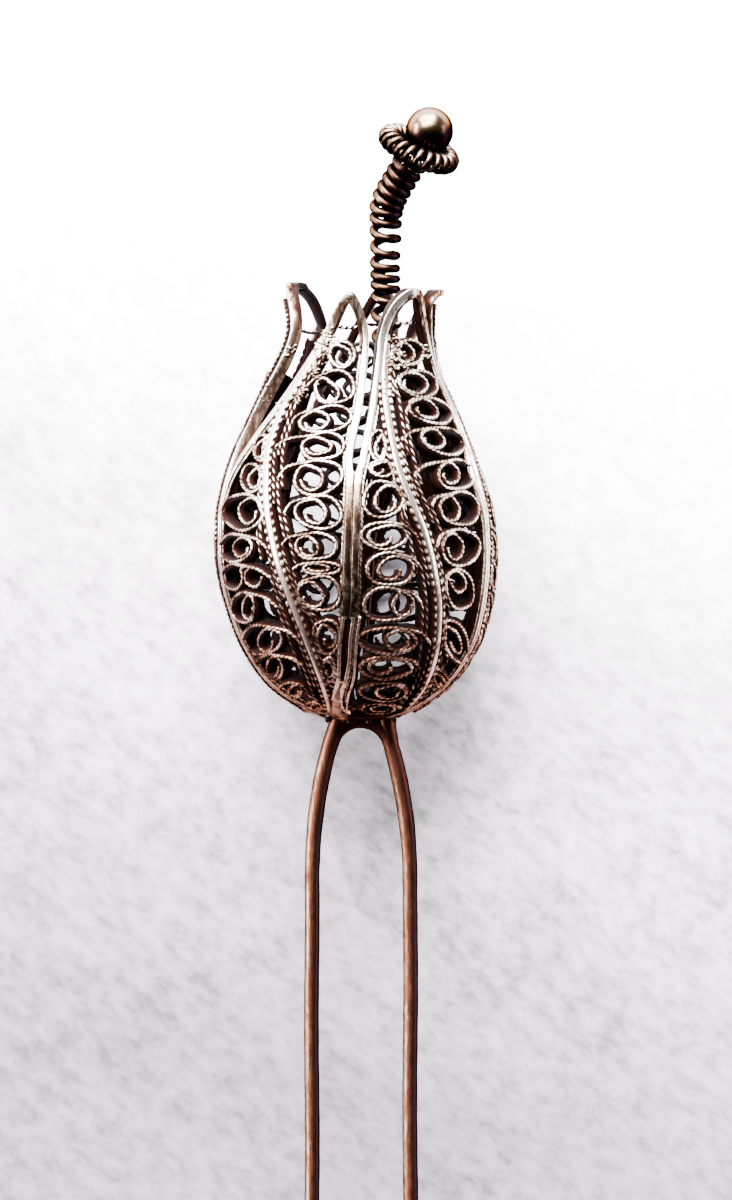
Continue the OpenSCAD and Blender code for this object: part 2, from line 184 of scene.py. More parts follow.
# Heights over which the strips change
WIDE_FROM = (16, 21)
WIDE_TO = (29, 32.5)
RIB_FULL_FROM = (0, 7)
THIN_FROM = (1.5, 5.5)
BAR_FROM = (BAR_LOW - 0.25, BAR_LOW + 0.1)
BAR_TO = (19.7, 22)
BRONZE_TO = (19.3, 20.5)
# Narrow strips: width, height above the wall, depth, and how much darker they are painted, with tarnish
# and painted shade
Strip = namedtuple("Strip", "width top depth dull")
ARCH_SHADE_STRIP = Strip(0.34, -0.14, 0.7, 0.2)
# The seam's second thin strip and a dark backing of painted shade behind it: lowest and highest point, and
# inset
SEAM_STRIPS = [
    (0.9, BAR_LOW, 0.95, Strip(0.2, 0, EDGE_DEPTH, 0)),
    (0.8, BAR_LOW + 0.4, 0.3, Strip(1.9, -0.45, 0.45, 0.3)),
]
# The solder that runs from the seam down to the pin
SEAM_SOLDER_UP = (0.25, 3.1)
SEAM_SOLDER_R = 0.2
SEAM_SOLDER_WIDER = 0.38
SEAM_SOLDER_NARROWS = (0.4, 3.0)
SEAM_SOLDER_UNEVEN = 0.02
SEAM_SOLDER_SUNK = 0.22

# Tips, the dark strip of painted shade inside their arches, and the wires inside the strips
TIP_LENGTH = 3
BEADED_BULGE = 0.25
PLAIN_BULGE = 0.08
OUTLINE_STEP = 0.1
ARCH_INSET = 0.1
ARCH_LENGTH = 4.6
BEADS_INSET = 0.16
ROPE_INSET = 0.12
# How far a tip stands above the last row of its table
TIP_RAISED = {"petal_left": 0.35}
# How far below the tip the arms' tarnish and painted shade start and are full
TIP_DULL_AND_SHADE_FROM = 4.5
TIP_DULL_AND_SHADE_FULL = 2
# The front petal whose scrolls each petal has, the height of its cross wire, and the
# tarnish and painted shade on both arms of its tip
PetalLook = namedtuple("PetalLook", "scrolls_of cross_wire dull_left dull_right")
LOOKS = {
    FRONT_LEFT: PetalLook(FRONT_LEFT, 32.9, 0.13, 0.12),
    FRONT_RIGHT: PetalLook(FRONT_RIGHT, 33.3, 0.06, 0.14),
    "petal_right": PetalLook(FRONT_LEFT, 33.2, 0.12, 0.05),
    "petal_back": PetalLook(FRONT_RIGHT, 33.3, 0.14, 0.14),
    "petal_left": PetalLook(FRONT_RIGHT, 32.6, 0.4, -0.01),
}
# Arms whose beads run almost up to the tip
LONG_BEADS = (("petal_left", "right"), ("petal_right", "left"))
LONG_BEADS_END = 1.2
ROPE_END = 5
# The left petal's near arm is bronzed, with solder on its flank
FLANK_ARM = ("petal_left", "right")
FLANK_BRONZE = 0.35
FLANK_FROM = (20, 25)
FLANK_TO = (31.5, 34)
FLANK_SOLDER = (27.2, 30.9)
FLANK_SPREAD = 0.4
FLANK_GRAINS = 22
FLANK_DEPTHS = (0.02, 0.8)
FLANK_SIZES = (0.1, 0.19)
FLANK_SUNK = 0.05

# Kinds of wire: thinnest share of the radius, tarnish and painted shade in the grooves and below the top
RopeKind = namedtuple("RopeKind", "waist dark fade")
ROPE_KINDS = {
    "fine": RopeKind(0.76, 0.05, 2.0),
    "coarse": RopeKind(0.45, 0.5, 1.3),
    "beads": RopeKind(0.4, 0.5, 1.3),
}
ROPE_SIDES = 8
ROPE_FULLEST = 1.04
# Wires on the wall: lay is the length of a turn or bead, drop how far the middle lies
# below the wall, and skirt the depth of the flat strip under it
Rope = namedtuple("Rope", "radius lay kind drop skirt step")
SCROLL = Rope(0.175, 0.46, "fine", 0.14, 0.8, 0.11)
SECOND_SCROLL = SCROLL._replace(step=0.12)
LANE = Rope(0.155, 0.72, "coarse", 0.16, 0.8, 0.13)
RIB_ROPE = Rope(0.2, 0.7, "beads", 0.1, 0.8, 0.11)
EDGE_ROPE = Rope(0.15, 0.46, "fine", 0.3, 0, 0.11)
EDGE_BEADS = Rope(0.24, 0.46, "beads", 0.1, 0, 0.11)
FLUSH_BEADS = EDGE_BEADS._replace(drop=0.02)
ROPE_PHASES = (0, 3)
# The wires beside a rib: distance from it and room they need in radii, end below its top
RIB_ROPE_AWAY = 0.85
RIB_ROPE_ROOM = 0.8
RIB_ROPE_END = 1
# Skirts are painted dark from SKIRT_TOP down with tarnish and painted shade, and are wider than their wire
# so a dark rim of painted shade shows beside it
SKIRT_W = 0.42
SKIRT_W_BEHIND = 0.17
SKIRT_TOP = 0.4
SKIRT_FLARE = 0.12
FLARED = ((FRONT_LEFT, "left"), (FRONT_LEFT, "right"), (FRONT_RIGHT, "right"))
# Cross wires inside the tips
CROSS_WIRE = Rope(0.18, 0.6, "coarse", 0.4, 0, None)
CROSS_SAG = 0.3
CROSS_RUN = 4
# The cross wire is painted darker below CROSS_TOP at the rate CROSS_FADE: painted shade on its sides and
# underside
CROSS_TOP = 0.15
CROSS_FADE = 1.9

# Scrolls of the front petals in pixels of the photograph: the middle and half sizes of
# the outer ring, those of the inner ring, and the lean in degrees
RINGS = {
    (FRONT_LEFT, "left"): [
        (262, 449, 9, 13, 259, 452, 5, 7, 0), (252, 478, 11, 14, 254, 481, 6, 8, 0),
        (242, 512, 20, 18, 248, 513, 10, 12, 0), (235, 548, 16, 14, 241, 549, 8, 9, 0),
        (232, 577, 10.5, 12.5, 254, 578, 10, 10, 0), (243, 608, 12, 15, 248, 609, 6, 12, 0),
        (261, 640, 20, 14.5, 266, 642, 8, 11, 0), (269, 668, 14, 13, 273, 668, 7, 10, 0),
        (290, 691, 12, 8, 294, 692, 6, 5, 0), (313, 707, 8, 5, 315, 707, 4, 3, 0)],
    (FRONT_LEFT, "right"): [
        (342, 355, 12, 13, 343, 358, 8, 9, 0), (335, 388, 20, 16, 327, 394, 12, 11, 10),
        (326, 420, 26, 12.5, 316, 422, 13, 9, 12), (323, 447, 22, 13, 318, 448, 14, 8, 8),
        (318, 478, 24, 17, 311, 480, 13, 12, 8), (319, 513, 23, 16.5, 315, 514, 11, 12, 0),
        (316, 547, 21, 13, 309, 549, 10, 9, 0), (322, 569, 19, 6, 318, 569, 12, 3.5, 0),
        (320, 594, 21, 17, 313, 598, 11, 11, 0), (329, 637, 11, 17, 330, 640, 7, 9, 0),
        (329, 670, 7, 12, 330, 671, 4, 7, 0)],
    (FRONT_RIGHT, "left"): [
        (378, 446, 8, 15, 380, 450, 5, 9, 0), (382, 469, 12, 8, 378, 470, 7, 5, 0),
        (383, 500, 20, 18, 386, 502, 11, 13, 0), (384, 536, 22, 13.5, 381, 538, 13, 9, 0),
        (390, 570, 24, 16, 390, 571, 12, 11, 0), (388, 605, 25, 16.5, 403, 606, 10, 12, 0),
        (388, 641, 28, 13, 398, 642, 13, 10, 0), (386, 668, 25, 11, 381, 668, 13, 7, 0),
        (383, 692, 23, 9, 388, 693, 13, 6, 0), (378, 709, 17, 5, 380, 709, 9, 3, 0)],
    (FRONT_RIGHT, "right"): [
        (411, 353, 13, 12, 409, 355, 6, 7, 0), (419, 384, 19, 13, 415, 385, 13, 10, -8),
        (431, 411, 23, 12, 427, 411, 12, 8, -14), (444, 441, 22, 13, 434, 441, 11, 8, -12),
        (457, 475, 19, 14.5, 451, 475, 9, 10, 0), (460, 509, 20, 16.5, 450, 511, 10, 12, 0),
        (461, 548, 19, 18, 455, 549, 9, 12, 0), (460, 590, 14, 20, 458, 583, 8, 11, 10),
        (456, 641, 11, 22, 455, 642, 6, 13, 20), (442, 681, 6, 14, 442, 682, 3, 8, 32)],
}
X, Y, A, B, INNER_X, INNER_Y, INNER_A, INNER_B, LEAN = range(9)
RINGS = {panel: np.array(rows, float) for panel, rows in RINGS.items()}
# A scroll's turn in degrees, where 0 faces the rib
RING_START = 68
RING_LEAVES = 385
INNER_REACHED = 480
TURN_STEP = 11
RING_PHASES = (0, 6)
UNEVEN = 0.05
UNEVEN_ACROSS = 2.3
UNEVEN_UP = 3.1
# A scroll's last turn and how small it is by then
CURLED_UP = (1010, 0.35)
LEFT_OPEN = (730, 0.8)

# Panels between the strips: places in them are millimetres from the rib, and a height
SIDE_SIGN = {"left": -1, "right": 1}
SIDE_EDGE = {"left": LEFT, "right": RIGHT}
PHOTO_SEES = 86
PHOTO_STEPS = 61
PHOTO_BELOW_TIP = 0.2
SCROLL_LOW = 0.35
SCROLL_BELOW_TIP = 0.3
LEAST_PANEL = 0.9
BEADED_TOP = 31
RIB_CLEAR = 0.1
LEAST_ROOM = 0.6
TWO_ABREAST_FROM = 1.45
SECOND_SHARE = 0.97
# Lanes of wire that run up beside the rib to the scrolls
LANES = 3
LANES_BEHIND = 2
LANE_STEP = 0.45
LANE_FIRST = 0.14
LANE_LOW = 0.7
LANE_LENGTHS = (3.6, 6.2)
LANES_PACKED = 0.8
LANE_CLEAR = 1.9
FREE_STEP = 0.25
FREE_TOP = 37
FREE_OVER = 5
FREE_SLACK = 0.2
BRIDGE_ACROSS = 0.35
BRIDGE_UP = 0.72

# Grains of solder on the front petals: side, place in the photograph, reach and count
GRAINS = {
    FRONT_LEFT: [
        ("right", 322, 352, 9, 40), ("right", 316, 374, 7, 34), ("right", 304, 392, 5, 18),
        ("right", 328, 338, 6, 22), ("left", 296, 398, 5, 14)],
    FRONT_RIGHT: [
        ("left", 391, 362, 7, 40), ("right", 404, 366, 6, 26), ("right", 396, 345, 5, 20),
        ("right", 426, 352, 5, 16), ("left", 386, 392, 5, 16)],
}
GRAIN_R = 0.15
GRAIN_SIZES = (0.65, 1.35)
GRAIN_PROUD = 0.1
GRAINS_ACROSS = 0.5
GRAINS_UP = 0.9
# Grains are painted darker on their lower side below SOLDER_TOP: painted shade
SOLDER_TOP = 0.14
# Pools of solder near the base: side, and middle and half sizes in the photograph
PLATES = {
    FRONT_LEFT: [
        ("left", 300, 697, 9, 5), ("right", 327, 690, 4, 8), ("left", 276, 684, 7, 4)],
    FRONT_RIGHT: [
        ("left", 369, 662, 8, 8), ("left", 365, 687, 6, 9), ("left", 384, 705, 13, 5),
        ("left", 405, 672, 7, 5), ("left", 402, 692, 8, 5), ("right", 444, 668, 4, 10)],
}
Plate = namedtuple("Plate", "top depth dull bronzed")
PLATE = Plate(-0.3, 0.18, 0.16, 0.35)
PLATE_ENDS = 0.97

# Spring: turns, the middle of the coil, and whether it winds
SPRING = np.array([
    (0, 0.2, 0, 1.3, 0), (0.5, 0.9, 0, 8.4, 0), (1, 1.5, -0.1, 15.5, 0),
    (1.5, 2, -0.2, 22.4, 0.05), (2, 2.2, -0.3, 23.9, 0.8), (3, 2.3, -0.35, 25.1, 1),
    (8, 2.1, -0.9, 34.6, 1), (11, 2.05, -1.1, 37.6, 1), (12, 2.05, -1.3, 38.7, 1),
    (13, 2.1, -1.6, 40.1, 1), (14, 2.1, -1.9, 41.35, 1), (16, 2.25, -2.35, 43, 1),
    (19, 3.3, -2.95, 45, 1), (22, 4.6, -3.57, 47.1, 1)])
TURN, ACROSS, BEHIND, UP, COIL = range(5)
SPRING_D = 0.72
SPRING_OUTER_D = 2.6
SPRING_WIDER = (0.34, 11, 17)
SPRING_THICKER = (0.03, 10, 16)
SPRING_POINTS = 30
CLIMB_ON_LEFT = 0.6
COIL_SIDES = 12
# Collar: a coil of wire closed into a ring
COLLAR_OUTER_D = 7.2
COLLAR_COIL_D = 1.85
COLLAR_WIRE_D = 0.5
COLLAR_TURNS = 23
COLLAR_POINTS = 28
COLLAR_CENTRE = np.array((4.85, -3.75, 47.5))
COLLAR_LEAN = 24 * DEG
COLLAR_FORWARD = 17 * DEG

# Fork: two prongs, their shoulders and the bend
PRONG_X = 4.15
SHOULDER_RADIUS = 42.0
SHOULDER_TURN = 16.2 * DEG
TIP_CENTRE = -79.335
WIRE_R = 0.665
WIRE_SIDES = 24
PRONG_STEP = 0.35
# Rounded end of a prong, in radii
PRONG_END = np.array([(0, 1), (0.35, 0.94), (0.65, 0.76), (0.87, 0.49), (0.98, 0.2)])
AHEAD, WIDE = 0, 1
BEND_THICK = 1.03
# Unevenness of the prongs, as an amount and the heights where it starts and is full
LEFT_NEARER = (0.1, -3, -12)
BENT = (0.04, -6, -20)
BENT_WAVES = 0.31
PRONG_THINNER = (0.08, -6, -13)
PRONG_UNEVEN = 0.012
UNEVEN_WAVES = 1.7
# Solder that fills in between the wire and the bud: x, height and radius
SOLDER = [
    [(-1.75, 0.62, 0.86), (-1.78, 0.3, 0.8), (-1.86, -0.1, 0.76), (-2.0, -0.55, 0.74), (-2.2, -1.1, 0.72),
     (-2.42, -1.75, 0.7), (-2.6, -2.4, 0.66)],
    [(2.2, 0.62, 0.88), (2.2, 0.3, 0.82), (2.2, -0.1, 0.78), (2.24, -0.55, 0.75), (2.34, -1.1, 0.72),
     (2.48, -1.75, 0.7), (2.62, -2.4, 0.66)],
]
# Lumps of it on the front and back of the wire, further out higher up
LUMPS = 70
LUMPS_X = (-2.8, 3.0)
LUMPS_UP = (-0.25, 0.8)
LUMPS_R = (0.18, 0.36)
LUMPS_OUT = 0.45
LUMPS_FLARE = 0.5
LUMPS_TILT = 0.3
# The disc that the bud stands on: height and radius
FOOT = np.array([(0.02, 0.2), (0.05, 2.3), (0.25, 2.62), (0.7, 2.7), (1.1, 2.6), (1.18, 0.2)])
FOOT_SIDES = 48
FRONT = np.array((0.0, -1.0, 0.0))
UPWARD = np.array((0.0, 0.0, 1.0))


def smooth(table, column, at):
    """A smooth curve through the rows of a table, the same one as in the part's source."""
    at = np.asarray(at, float)
    x = table[:, 0]
    y = table[:, column]
    before = np.maximum(np.arange(len(x)) - 1, 0)
    after = np.minimum(np.arange(len(x)) + 1, len(x) - 1)
    slope = (y[after] - y[before]) / (x[after] - x[before])
    i = np.clip(np.searchsorted(x, at, side="right") - 1, 0, len(x) - 2)
    step = x[i + 1] - x[i]
    t = np.clip((at - x[i]) / step, 0, 1)
    return ((2 * t**3 - 3 * t**2 + 1) * y[i] + (t**3 - 2 * t**2 + t) * slope[i] * step
            + (3 * t**2 - 2 * t**3) * y[i + 1] + (t**3 - t**2) * slope[i + 1] * step)


def unit(v):
    return v / np.maximum(np.linalg.norm(v, axis=-1, keepdims=True), 1e-12)


def degrees_per_mm(height):
    return 1 / smooth(BUD, RADIUS, height) / DEG


def ease(start, end, at):
    """0 before the start, 1 after the end and a smooth step between them."""
    t = np.clip((np.asarray(at, float) - start) / (end - start), 0, 1)
    return t * t * (3 - 2 * t)


def grow(amount, start, end, at):
    """0 before the start and the amount after the end."""
    return amount * ease(start, end, at)


def between(start, end, at):
    """Rises from 0 to 1 over the first stretch and falls back over the second."""
    return ease(*start, at) - ease(*end, at)


def edges(petal, height):
    """The angles of a petal's left and right edge."""
    return smooth(petal, LEFT, height), smooth(petal, RIGHT, height)


def wall(petal, height, angle):
    """Points on the outside of the bud and the outward directions there."""
    height, angle = np.broadcast_arrays(np.asarray(height, float), np.asarray(angle, float))
    r = smooth(BUD, RADIUS, height)
    rise = np.maximum(height, SLOPE_FROM)
    rise_ends = [smooth(BUD, RADIUS, rise + way * SLOPE_STEP) for way in (-1, 1)]
    slope = (rise_ends[1] - rise_ends[0]) / (2 * SLOPE_STEP)
    left, right = edges(petal, height)
    middle = (left + right) / 2
    aside = np.clip((angle - middle) / (right - left) * 2, -PULL_REACH, PULL_REACH)
    pull = smooth(BUD, PULL, height) * aside**2
    a, m = angle * DEG, middle * DEG
    points = np.stack([
        r * np.sin(a) - pull * np.sin(m) + smooth(BUD, SHIFT, height),
        -r * np.cos(a) + pull * np.cos(m),
        height], axis=-1)
    outward = unit(np.stack([np.sin(a), -np.cos(a), -slope], axis=-1))
    return points, outward


def round_section(radius, sides):
    around = np.arange(sides) / sides * ROUND
    return np.stack([radius * np.cos(around), radius * np.sin(around)], axis=1)


class Piece:
    """One object made of sweeps: sections carried along lines."""

    def __init__(self, name):
        self.name = name
        self.parts = []
        self.count = 0

    def sweep(self, line, outward, section, closed=False, top=0.0, fade=1.0, extra=0.0, worn=0.0):
        """section: rings of (sideways, outward) offsets, one ring for all or one a point."""
        line = np.asarray(line, float)
        ahead = np.roll(line, -1, axis=0) if closed else np.vstack([line[1:], line[-1:]])
        behind = np.roll(line, 1, axis=0) if closed else np.vstack([line[:1], line[:-1]])
        along = unit(ahead - behind)
        up = unit(outward - np.sum(outward * along, axis=1, keepdims=True) * along)
        side = np.cross(along, up)
        section = np.asarray(section, float)
        if section.ndim == 2:
            section = np.broadcast_to(section, (len(line),) + section.shape)
        n, m = section.shape[:2]
        points = line[:, None] + side[:, None] * section[..., :1] + up[:, None] * section[..., 1:2]
        points = points.reshape(-1, 3)
        # Painted darkness: tarnish and painted shade that grow with depth below top at the rate fade, plus
        # extra
        depths = ((np.asarray(top) - section[..., 1]) * fade + extra).reshape(-1)
        worn = np.repeat(np.broadcast_to(worn, n), m)
        ring = np.arange(n if closed else n - 1)[:, None] * m
        next_ring = (ring + m) % (n * m)
        k = np.arange(m)
        nxt = (k + 1) % m
        faces = np.stack([ring + k, ring + nxt, next_ring + nxt, next_ring + k], axis=-1).reshape(-1, 4)
        if not closed:
            caps = [line[i] + up[i] * section[i, :, 1].mean() + side[i] * section[i, :, 0].mean()
                    for i in (0, -1)]
            start, end = len(points), len(points) + 1
            points = np.vstack([points, caps])
            depths = np.append(depths, [depths[:m].mean(), depths[-m:].mean()])
            worn = np.append(worn, [worn[0], worn[-1]])
            last = (n - 1) * m
            first_cap = np.stack([np.full(m, start), nxt, k, k], axis=1)
            last_cap = np.stack([np.full(m, end), last + k, last + nxt, last + nxt], axis=1)
            faces = np.vstack([faces, first_cap, last_cap])
        self.parts.append((points, faces + self.count, depths, worn))
        self.count += len(points)

    def rod(self, line, outward, radius, sides, **looks):
        """A round wire, with one radius for all or one a point."""
        thick = np.broadcast_to(radius, len(line))
        self.sweep(line, outward, thick[:, None, None] * round_section(1, sides), **looks)

    def build(self, material, slot, node):
        points, faces, tarnish_and_shade, worn = (np.concatenate(part) for part in zip(*self.parts))
        points = to_row(points)
        points[:, 2] = np.maximum(points[:, 2], 0)
        mesh = bpy.data.meshes.new(self.name)
        mesh.from_pydata(points.tolist(), [], [tuple(dict.fromkeys(face)) for face in faces.tolist()])
        mesh.polygons.foreach_set("use_smooth", [True] * len(mesh.polygons))
        # The darkness goes to the silver material as tarnish and painted shade
        for label, values in (("tarnish_and_shade", tarnish_and_shade), ("worn", worn)):
            layer = mesh.attributes.new(label, "FLOAT", "POINT")
            layer.data.foreach_set("value", values.astype(np.float32))
        mesh.materials.append(material)
        mesh.update()
        piece = add_object(self.name, mesh)
        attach(piece, "root")
        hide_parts(node)


def resample(line, step):
    """Points at an even spacing along a line of points."""
    line = np.asarray(line, float)
    lengths = np.linalg.norm(np.diff(line, axis=0), axis=1)
    run = np.concatenate([[0], np.cumsum(lengths)])
    count = max(3, int(round(run[-1] / step)) + 1)
    at = np.linspace(0, run[-1], count)
    return at, np.stack([np.interp(at, run, line[:, k]) for k in range(line.shape[1])], axis=1)


def strip_sections(width, top, bottom):
    """Rings of a flat strip set on edge, with rounded corners."""
    width, top, bottom = np.broadcast_arrays(*(np.asarray(v, float) for v in (width, top, bottom)))
    bevel = np.minimum(STRIP_BEVEL, width * BEVEL_SHARE)
    rings = []
    for sx, up, start in ((1, True, 0), (-1, True, 90), (-1, False, 180), (1, False, 270)):
        for turn in (0, 45, 90):
            a = (start + turn) * DEG
            x = sx * (width / 2 - bevel) + bevel * math.cos(a)
            z = (top - bevel if up else bottom + bevel) + bevel * math.sin(a)
            rings.append(np.stack([x, z], axis=-1))
    return np.stack(rings, axis=-2)


def rope_section(run, rope, phase):
    """Rings of a rope of two twisted strands, or of a beaded wire, and how dark its grooves are painted
    with tarnish and painted shade.
    """
    around = np.arange(ROPE_SIDES) / ROPE_SIDES * ROUND
    turn = (run / rope.lay * math.pi + phase)[:, None]
    kind = ROPE_KINDS[rope.kind]
    if rope.kind == "beads":
        lobe = np.sqrt(np.abs(np.cos(turn))) + 0 * around[None, :]
    else:
        lobe = np.abs(np.cos(around[None, :] - turn))
    r = rope.radius * (kind.waist + (ROPE_FULLEST - kind.waist) * lobe)
    return np.stack([r * np.cos(around), r * np.sin(around)], axis=-1), (1 - lobe) * kind.dark


def catmull(points, per_span):
    """A smooth line through given points."""
    p = np.asarray(points, float)
    p = np.vstack([2 * p[0] - p[1], p, 2 * p[-1] - p[-2]])
    t = np.linspace(0, 1, per_span, endpoint=False)[:, None]
    spans = []
    for i in range(1, len(p) - 2):
        a, b, c, d = p[i - 1], p[i], p[i + 1], p[i + 2]
        spans.append(0.5 * (2 * b + (c - a) * t + (2 * a - 5 * b + 4 * c - d) * t**2
                            + (3 * b - a - 3 * c + d) * t**3))
    return np.vstack(spans + [p[-2:-1]])


def place_in_panel(petal, side, from_rib, height):
    """The angle on the wall of a place in a panel."""
    return smooth(petal, RIB, height) + SIDE_SIGN[side] * from_rib * degrees_per_mm(height)


def rib_to_edge(petal, side, height):
    span = smooth(petal, SIDE_EDGE[side], height) - smooth(petal, RIB, height)
    return np.abs(span) / degrees_per_mm(height)


def from_photo(petal, side, x, y):
    """Places in a panel of a front petal, from pixels of the photograph."""
    height = np.clip((BASE_PX - y) / PX_PER_MM, LOWEST, petal[-1, 0] - PHOTO_BELOW_TIP)
    across = (x - AXIS_PX) / PX_PER_MM
    left = np.maximum(smooth(petal, LEFT, height), -PHOTO_SEES)
    right = np.minimum(smooth(petal, RIGHT, height), PHOTO_SEES)
    share = np.linspace(0, 1, PHOTO_STEPS)
    angles = left[:, None] + (right - left)[:, None] * share
    seen = wall(petal, height[:, None], angles)[0][..., 0]
    angle = np.array([np.interp(a, row, grid) for a, row, grid in zip(across, seen, angles)])
    from_rib = SIDE_SIGN[side] * (angle - smooth(petal, RIB, height)) / degrees_per_mm(height)
    return from_rib, height


def rope_on_wall(piece, name, height, angle, rope, phase, flare=0.0):
    """A wire along a line on the wall of a petal, with its flat skirt below it, painted dark with tarnish
    and painted shade.
    """
    points, outward = wall(PETALS[name], height, angle)
    line = points - outward * rope.drop
    run, both = resample(np.hstack([line, outward]), rope.step)
    line, outward = both[:, :3], unit(both[:, 3:])
    section, groove = rope_section(run, rope, phase)
    fade = ROPE_KINDS[rope.kind].fade
    piece.sweep(line, outward, section, top=rope.radius, fade=fade, extra=groove)
    if rope.skirt > 0:
        half = (SKIRT_W if name in FRONT_PETALS else SKIRT_W_BEHIND) / 2
        foot = half + flare
        piece.sweep(line[::2], outward[::2],
                    [(half, 0), (-half, 0), (-foot, -rope.skirt), (foot, -rope.skirt)], top=SKIRT_TOP)


def ring_in_photo(row, rib_side, end, closed_to, start):
    """A ring and the ring inside it as one uneven wire, in pixels of the photograph."""
    turn = np.arange(RING_START, end, TURN_STEP)
    inner = ease(RING_LEAVES, INNER_REACHED, turn)
    closing = 1 - (1 - closed_to) * np.clip((turn - INNER_REACHED) / (end - INNER_REACHED), 0, 1)
    x, y, a, b = (row[outer] + (row[within] - row[outer]) * inner
                  for outer, within in ((X, INNER_X), (Y, INNER_Y), (A, INNER_A), (B, INNER_B)))
    a = a * closing * (1 + UNEVEN * np.sin(UNEVEN_ACROSS * turn * DEG + start))
    b = b * closing * (1 + UNEVEN * np.sin(UNEVEN_UP * turn * DEG - start))
    across = rib_side * a * np.cos(turn * DEG)
    up = b * np.sin(turn * DEG)
    lean = row[LEAN] * DEG
    return (x + (across * math.cos(lean) - up * math.sin(lean)),
            y - (across * math.sin(lean) + up * math.cos(lean)))


def rope_in_panel(piece, name, side, from_rib, height, rope, phase, flare=0.0):
    petal = PETALS[name]
    height = np.clip(height, SCROLL_LOW, petal[-1, 0] - SCROLL_BELOW_TIP)
    rope_on_wall(piece, name, height, place_in_panel(petal, side, from_rib, height), rope, phase, flare)


def panel_rings(piece, name, side, lanes, rng):
    """The rings of a panel's scrolls; a second ring stands beside each in wide panels."""
    petal = PETALS[name]
    source_name = LOOKS[name].scrolls_of
    source = PETALS[source_name]
    beaded = name in BEADED_PETALS
    rings = []
    for row in RINGS[(source_name, side)]:
        end, closed_to = CURLED_UP if beaded else LEFT_OPEN
        x, y = ring_in_photo(row, -SIDE_SIGN[side], end, closed_to, rng.uniform(*RING_PHASES))
        from_rib, height = from_photo(source, side, x, y)
        share = from_rib / rib_to_edge(source, side, height)
        width = rib_to_edge(petal, side, height)
        if width.min() < LEAST_PANEL or (beaded and height.max() > BEADED_TOP):
            continue
        low, high = RIB_W / 2 + RIB_CLEAR, width - SEAM_GAP / 2 - EDGE_W / 2
        if name == source_name:
            rings.append((np.clip(share * width, low, high), height))
            continue
        start = RIB_W / 2 + 2 * RIB_ROPE.radius + lanes * LANE_STEP * LANES_PACKED
        room = np.maximum(width - EDGE_W - start, LEAST_ROOM)
        across = (share - share.min()) / np.ptp(share)
        abreast = 1 + int(beaded and room.mean() > TWO_ABREAST_FROM * np.ptp(height))
        rings.append((np.clip(start + across * room / abreast, low, high), height))
        if abreast == 2:
            second = np.clip(start + room - across * room / abreast * SECOND_SHARE, low, high)
            rope_in_panel(piece, name, side, second, height, SECOND_SCROLL, rng.uniform(*ROPE_PHASES))
    return rings


def add_scrolls(piece, name, side, rng):
    """A panel's scrolls: each wire runs up beside the rib, over, and round into its rings."""
    lanes = LANES_BEHIND if name == "petal_back" else LANES
    flare = SKIRT_FLARE if (name, side) in FLARED else 0.0
    rings = panel_rings(piece, name, side, lanes, rng)
    # How far from the rib the lanes may stand at each height
    grid = np.arange(0, FREE_TOP, FREE_STEP)
    free = np.full(len(grid), lanes * LANE_STEP + RIB_W)
    for from_rib, height in rings:
        cell = np.clip((height / FREE_STEP).astype(int), 0, len(grid) - 1)
        np.minimum.at(free, cell, from_rib - SCROLL.radius)
    padded = np.pad(free, FREE_OVER // 2, mode="edge")
    spread = np.convolve(padded, np.ones(FREE_OVER) / FREE_OVER, "valid")
    spread = np.minimum(spread, free + FREE_SLACK)
    near = RIB_W / 2 + LANE_CLEAR * RIB_ROPE.radius
    for count, (from_rib, height) in enumerate(rings):
        lane = count % lanes
        middle = (height.max() + height.min()) / 2
        low = max(LANE_LOW, middle - rng.uniform(*LANE_LENGTHS))
        up = np.arange(low, middle + 0.1, FREE_STEP)
        room = np.maximum(np.interp(up, grid, spread) - near, 0)
        beside = near + np.minimum(LANE_FIRST + LANE_STEP * lane, room * (lane + 0.5) / lanes)
        if len(up) > 3:
            rope_in_panel(piece, name, side, beside, up, LANE, rng.uniform(*ROPE_PHASES))
        over = (beside[-1] + BRIDGE_ACROSS * (from_rib[0] - beside[-1]),
                up[-1] + BRIDGE_UP * (height[0] - up[-1]))
        line = catmull([(beside[-1], up[-1]), over] + list(zip(from_rib, height)), 3)
        rope_in_panel(piece, name, side, line[:, 0], line[:, 1], SCROLL, rng.uniform(*ROPE_PHASES), flare)


def edge_strip(name, side, height):
    """Width of an edge strip and the distance of its middle from the seam."""
    wide = between(WIDE_FROM, WIDE_TO, height)
    width = EDGE_W + (EDGE_WIDE - EDGE_W) * wide + grow(*TIP_WIDER, height)
    if (name, side) == (FRONT_RIGHT, "left"):
        width = width + grow(*SEAM_TIP_WIDER, height)
    inset = SEAM_GAP / 2 + width / 2
    if (name, side) in ((FRONT_LEFT, "right"), (FRONT_RIGHT, "left")):
        thin = between(THIN_FROM, BAR_FROM, height)
        width = width + thin * (THIN_W - width)
        inset = inset + thin * (THIN_INSET - inset)
        bar = between(BAR_FROM, BAR_TO, height)
        width = width + bar * (BAR_W - width)
        apart = (smooth(PETALS[FRONT_RIGHT], LEFT, height)
                 - smooth(PETALS[FRONT_LEFT], RIGHT, height)) / degrees_per_mm(height)
        inset = inset + bar * (BAR_LAP + width / 2 - apart / 2 - inset)
    return width, inset


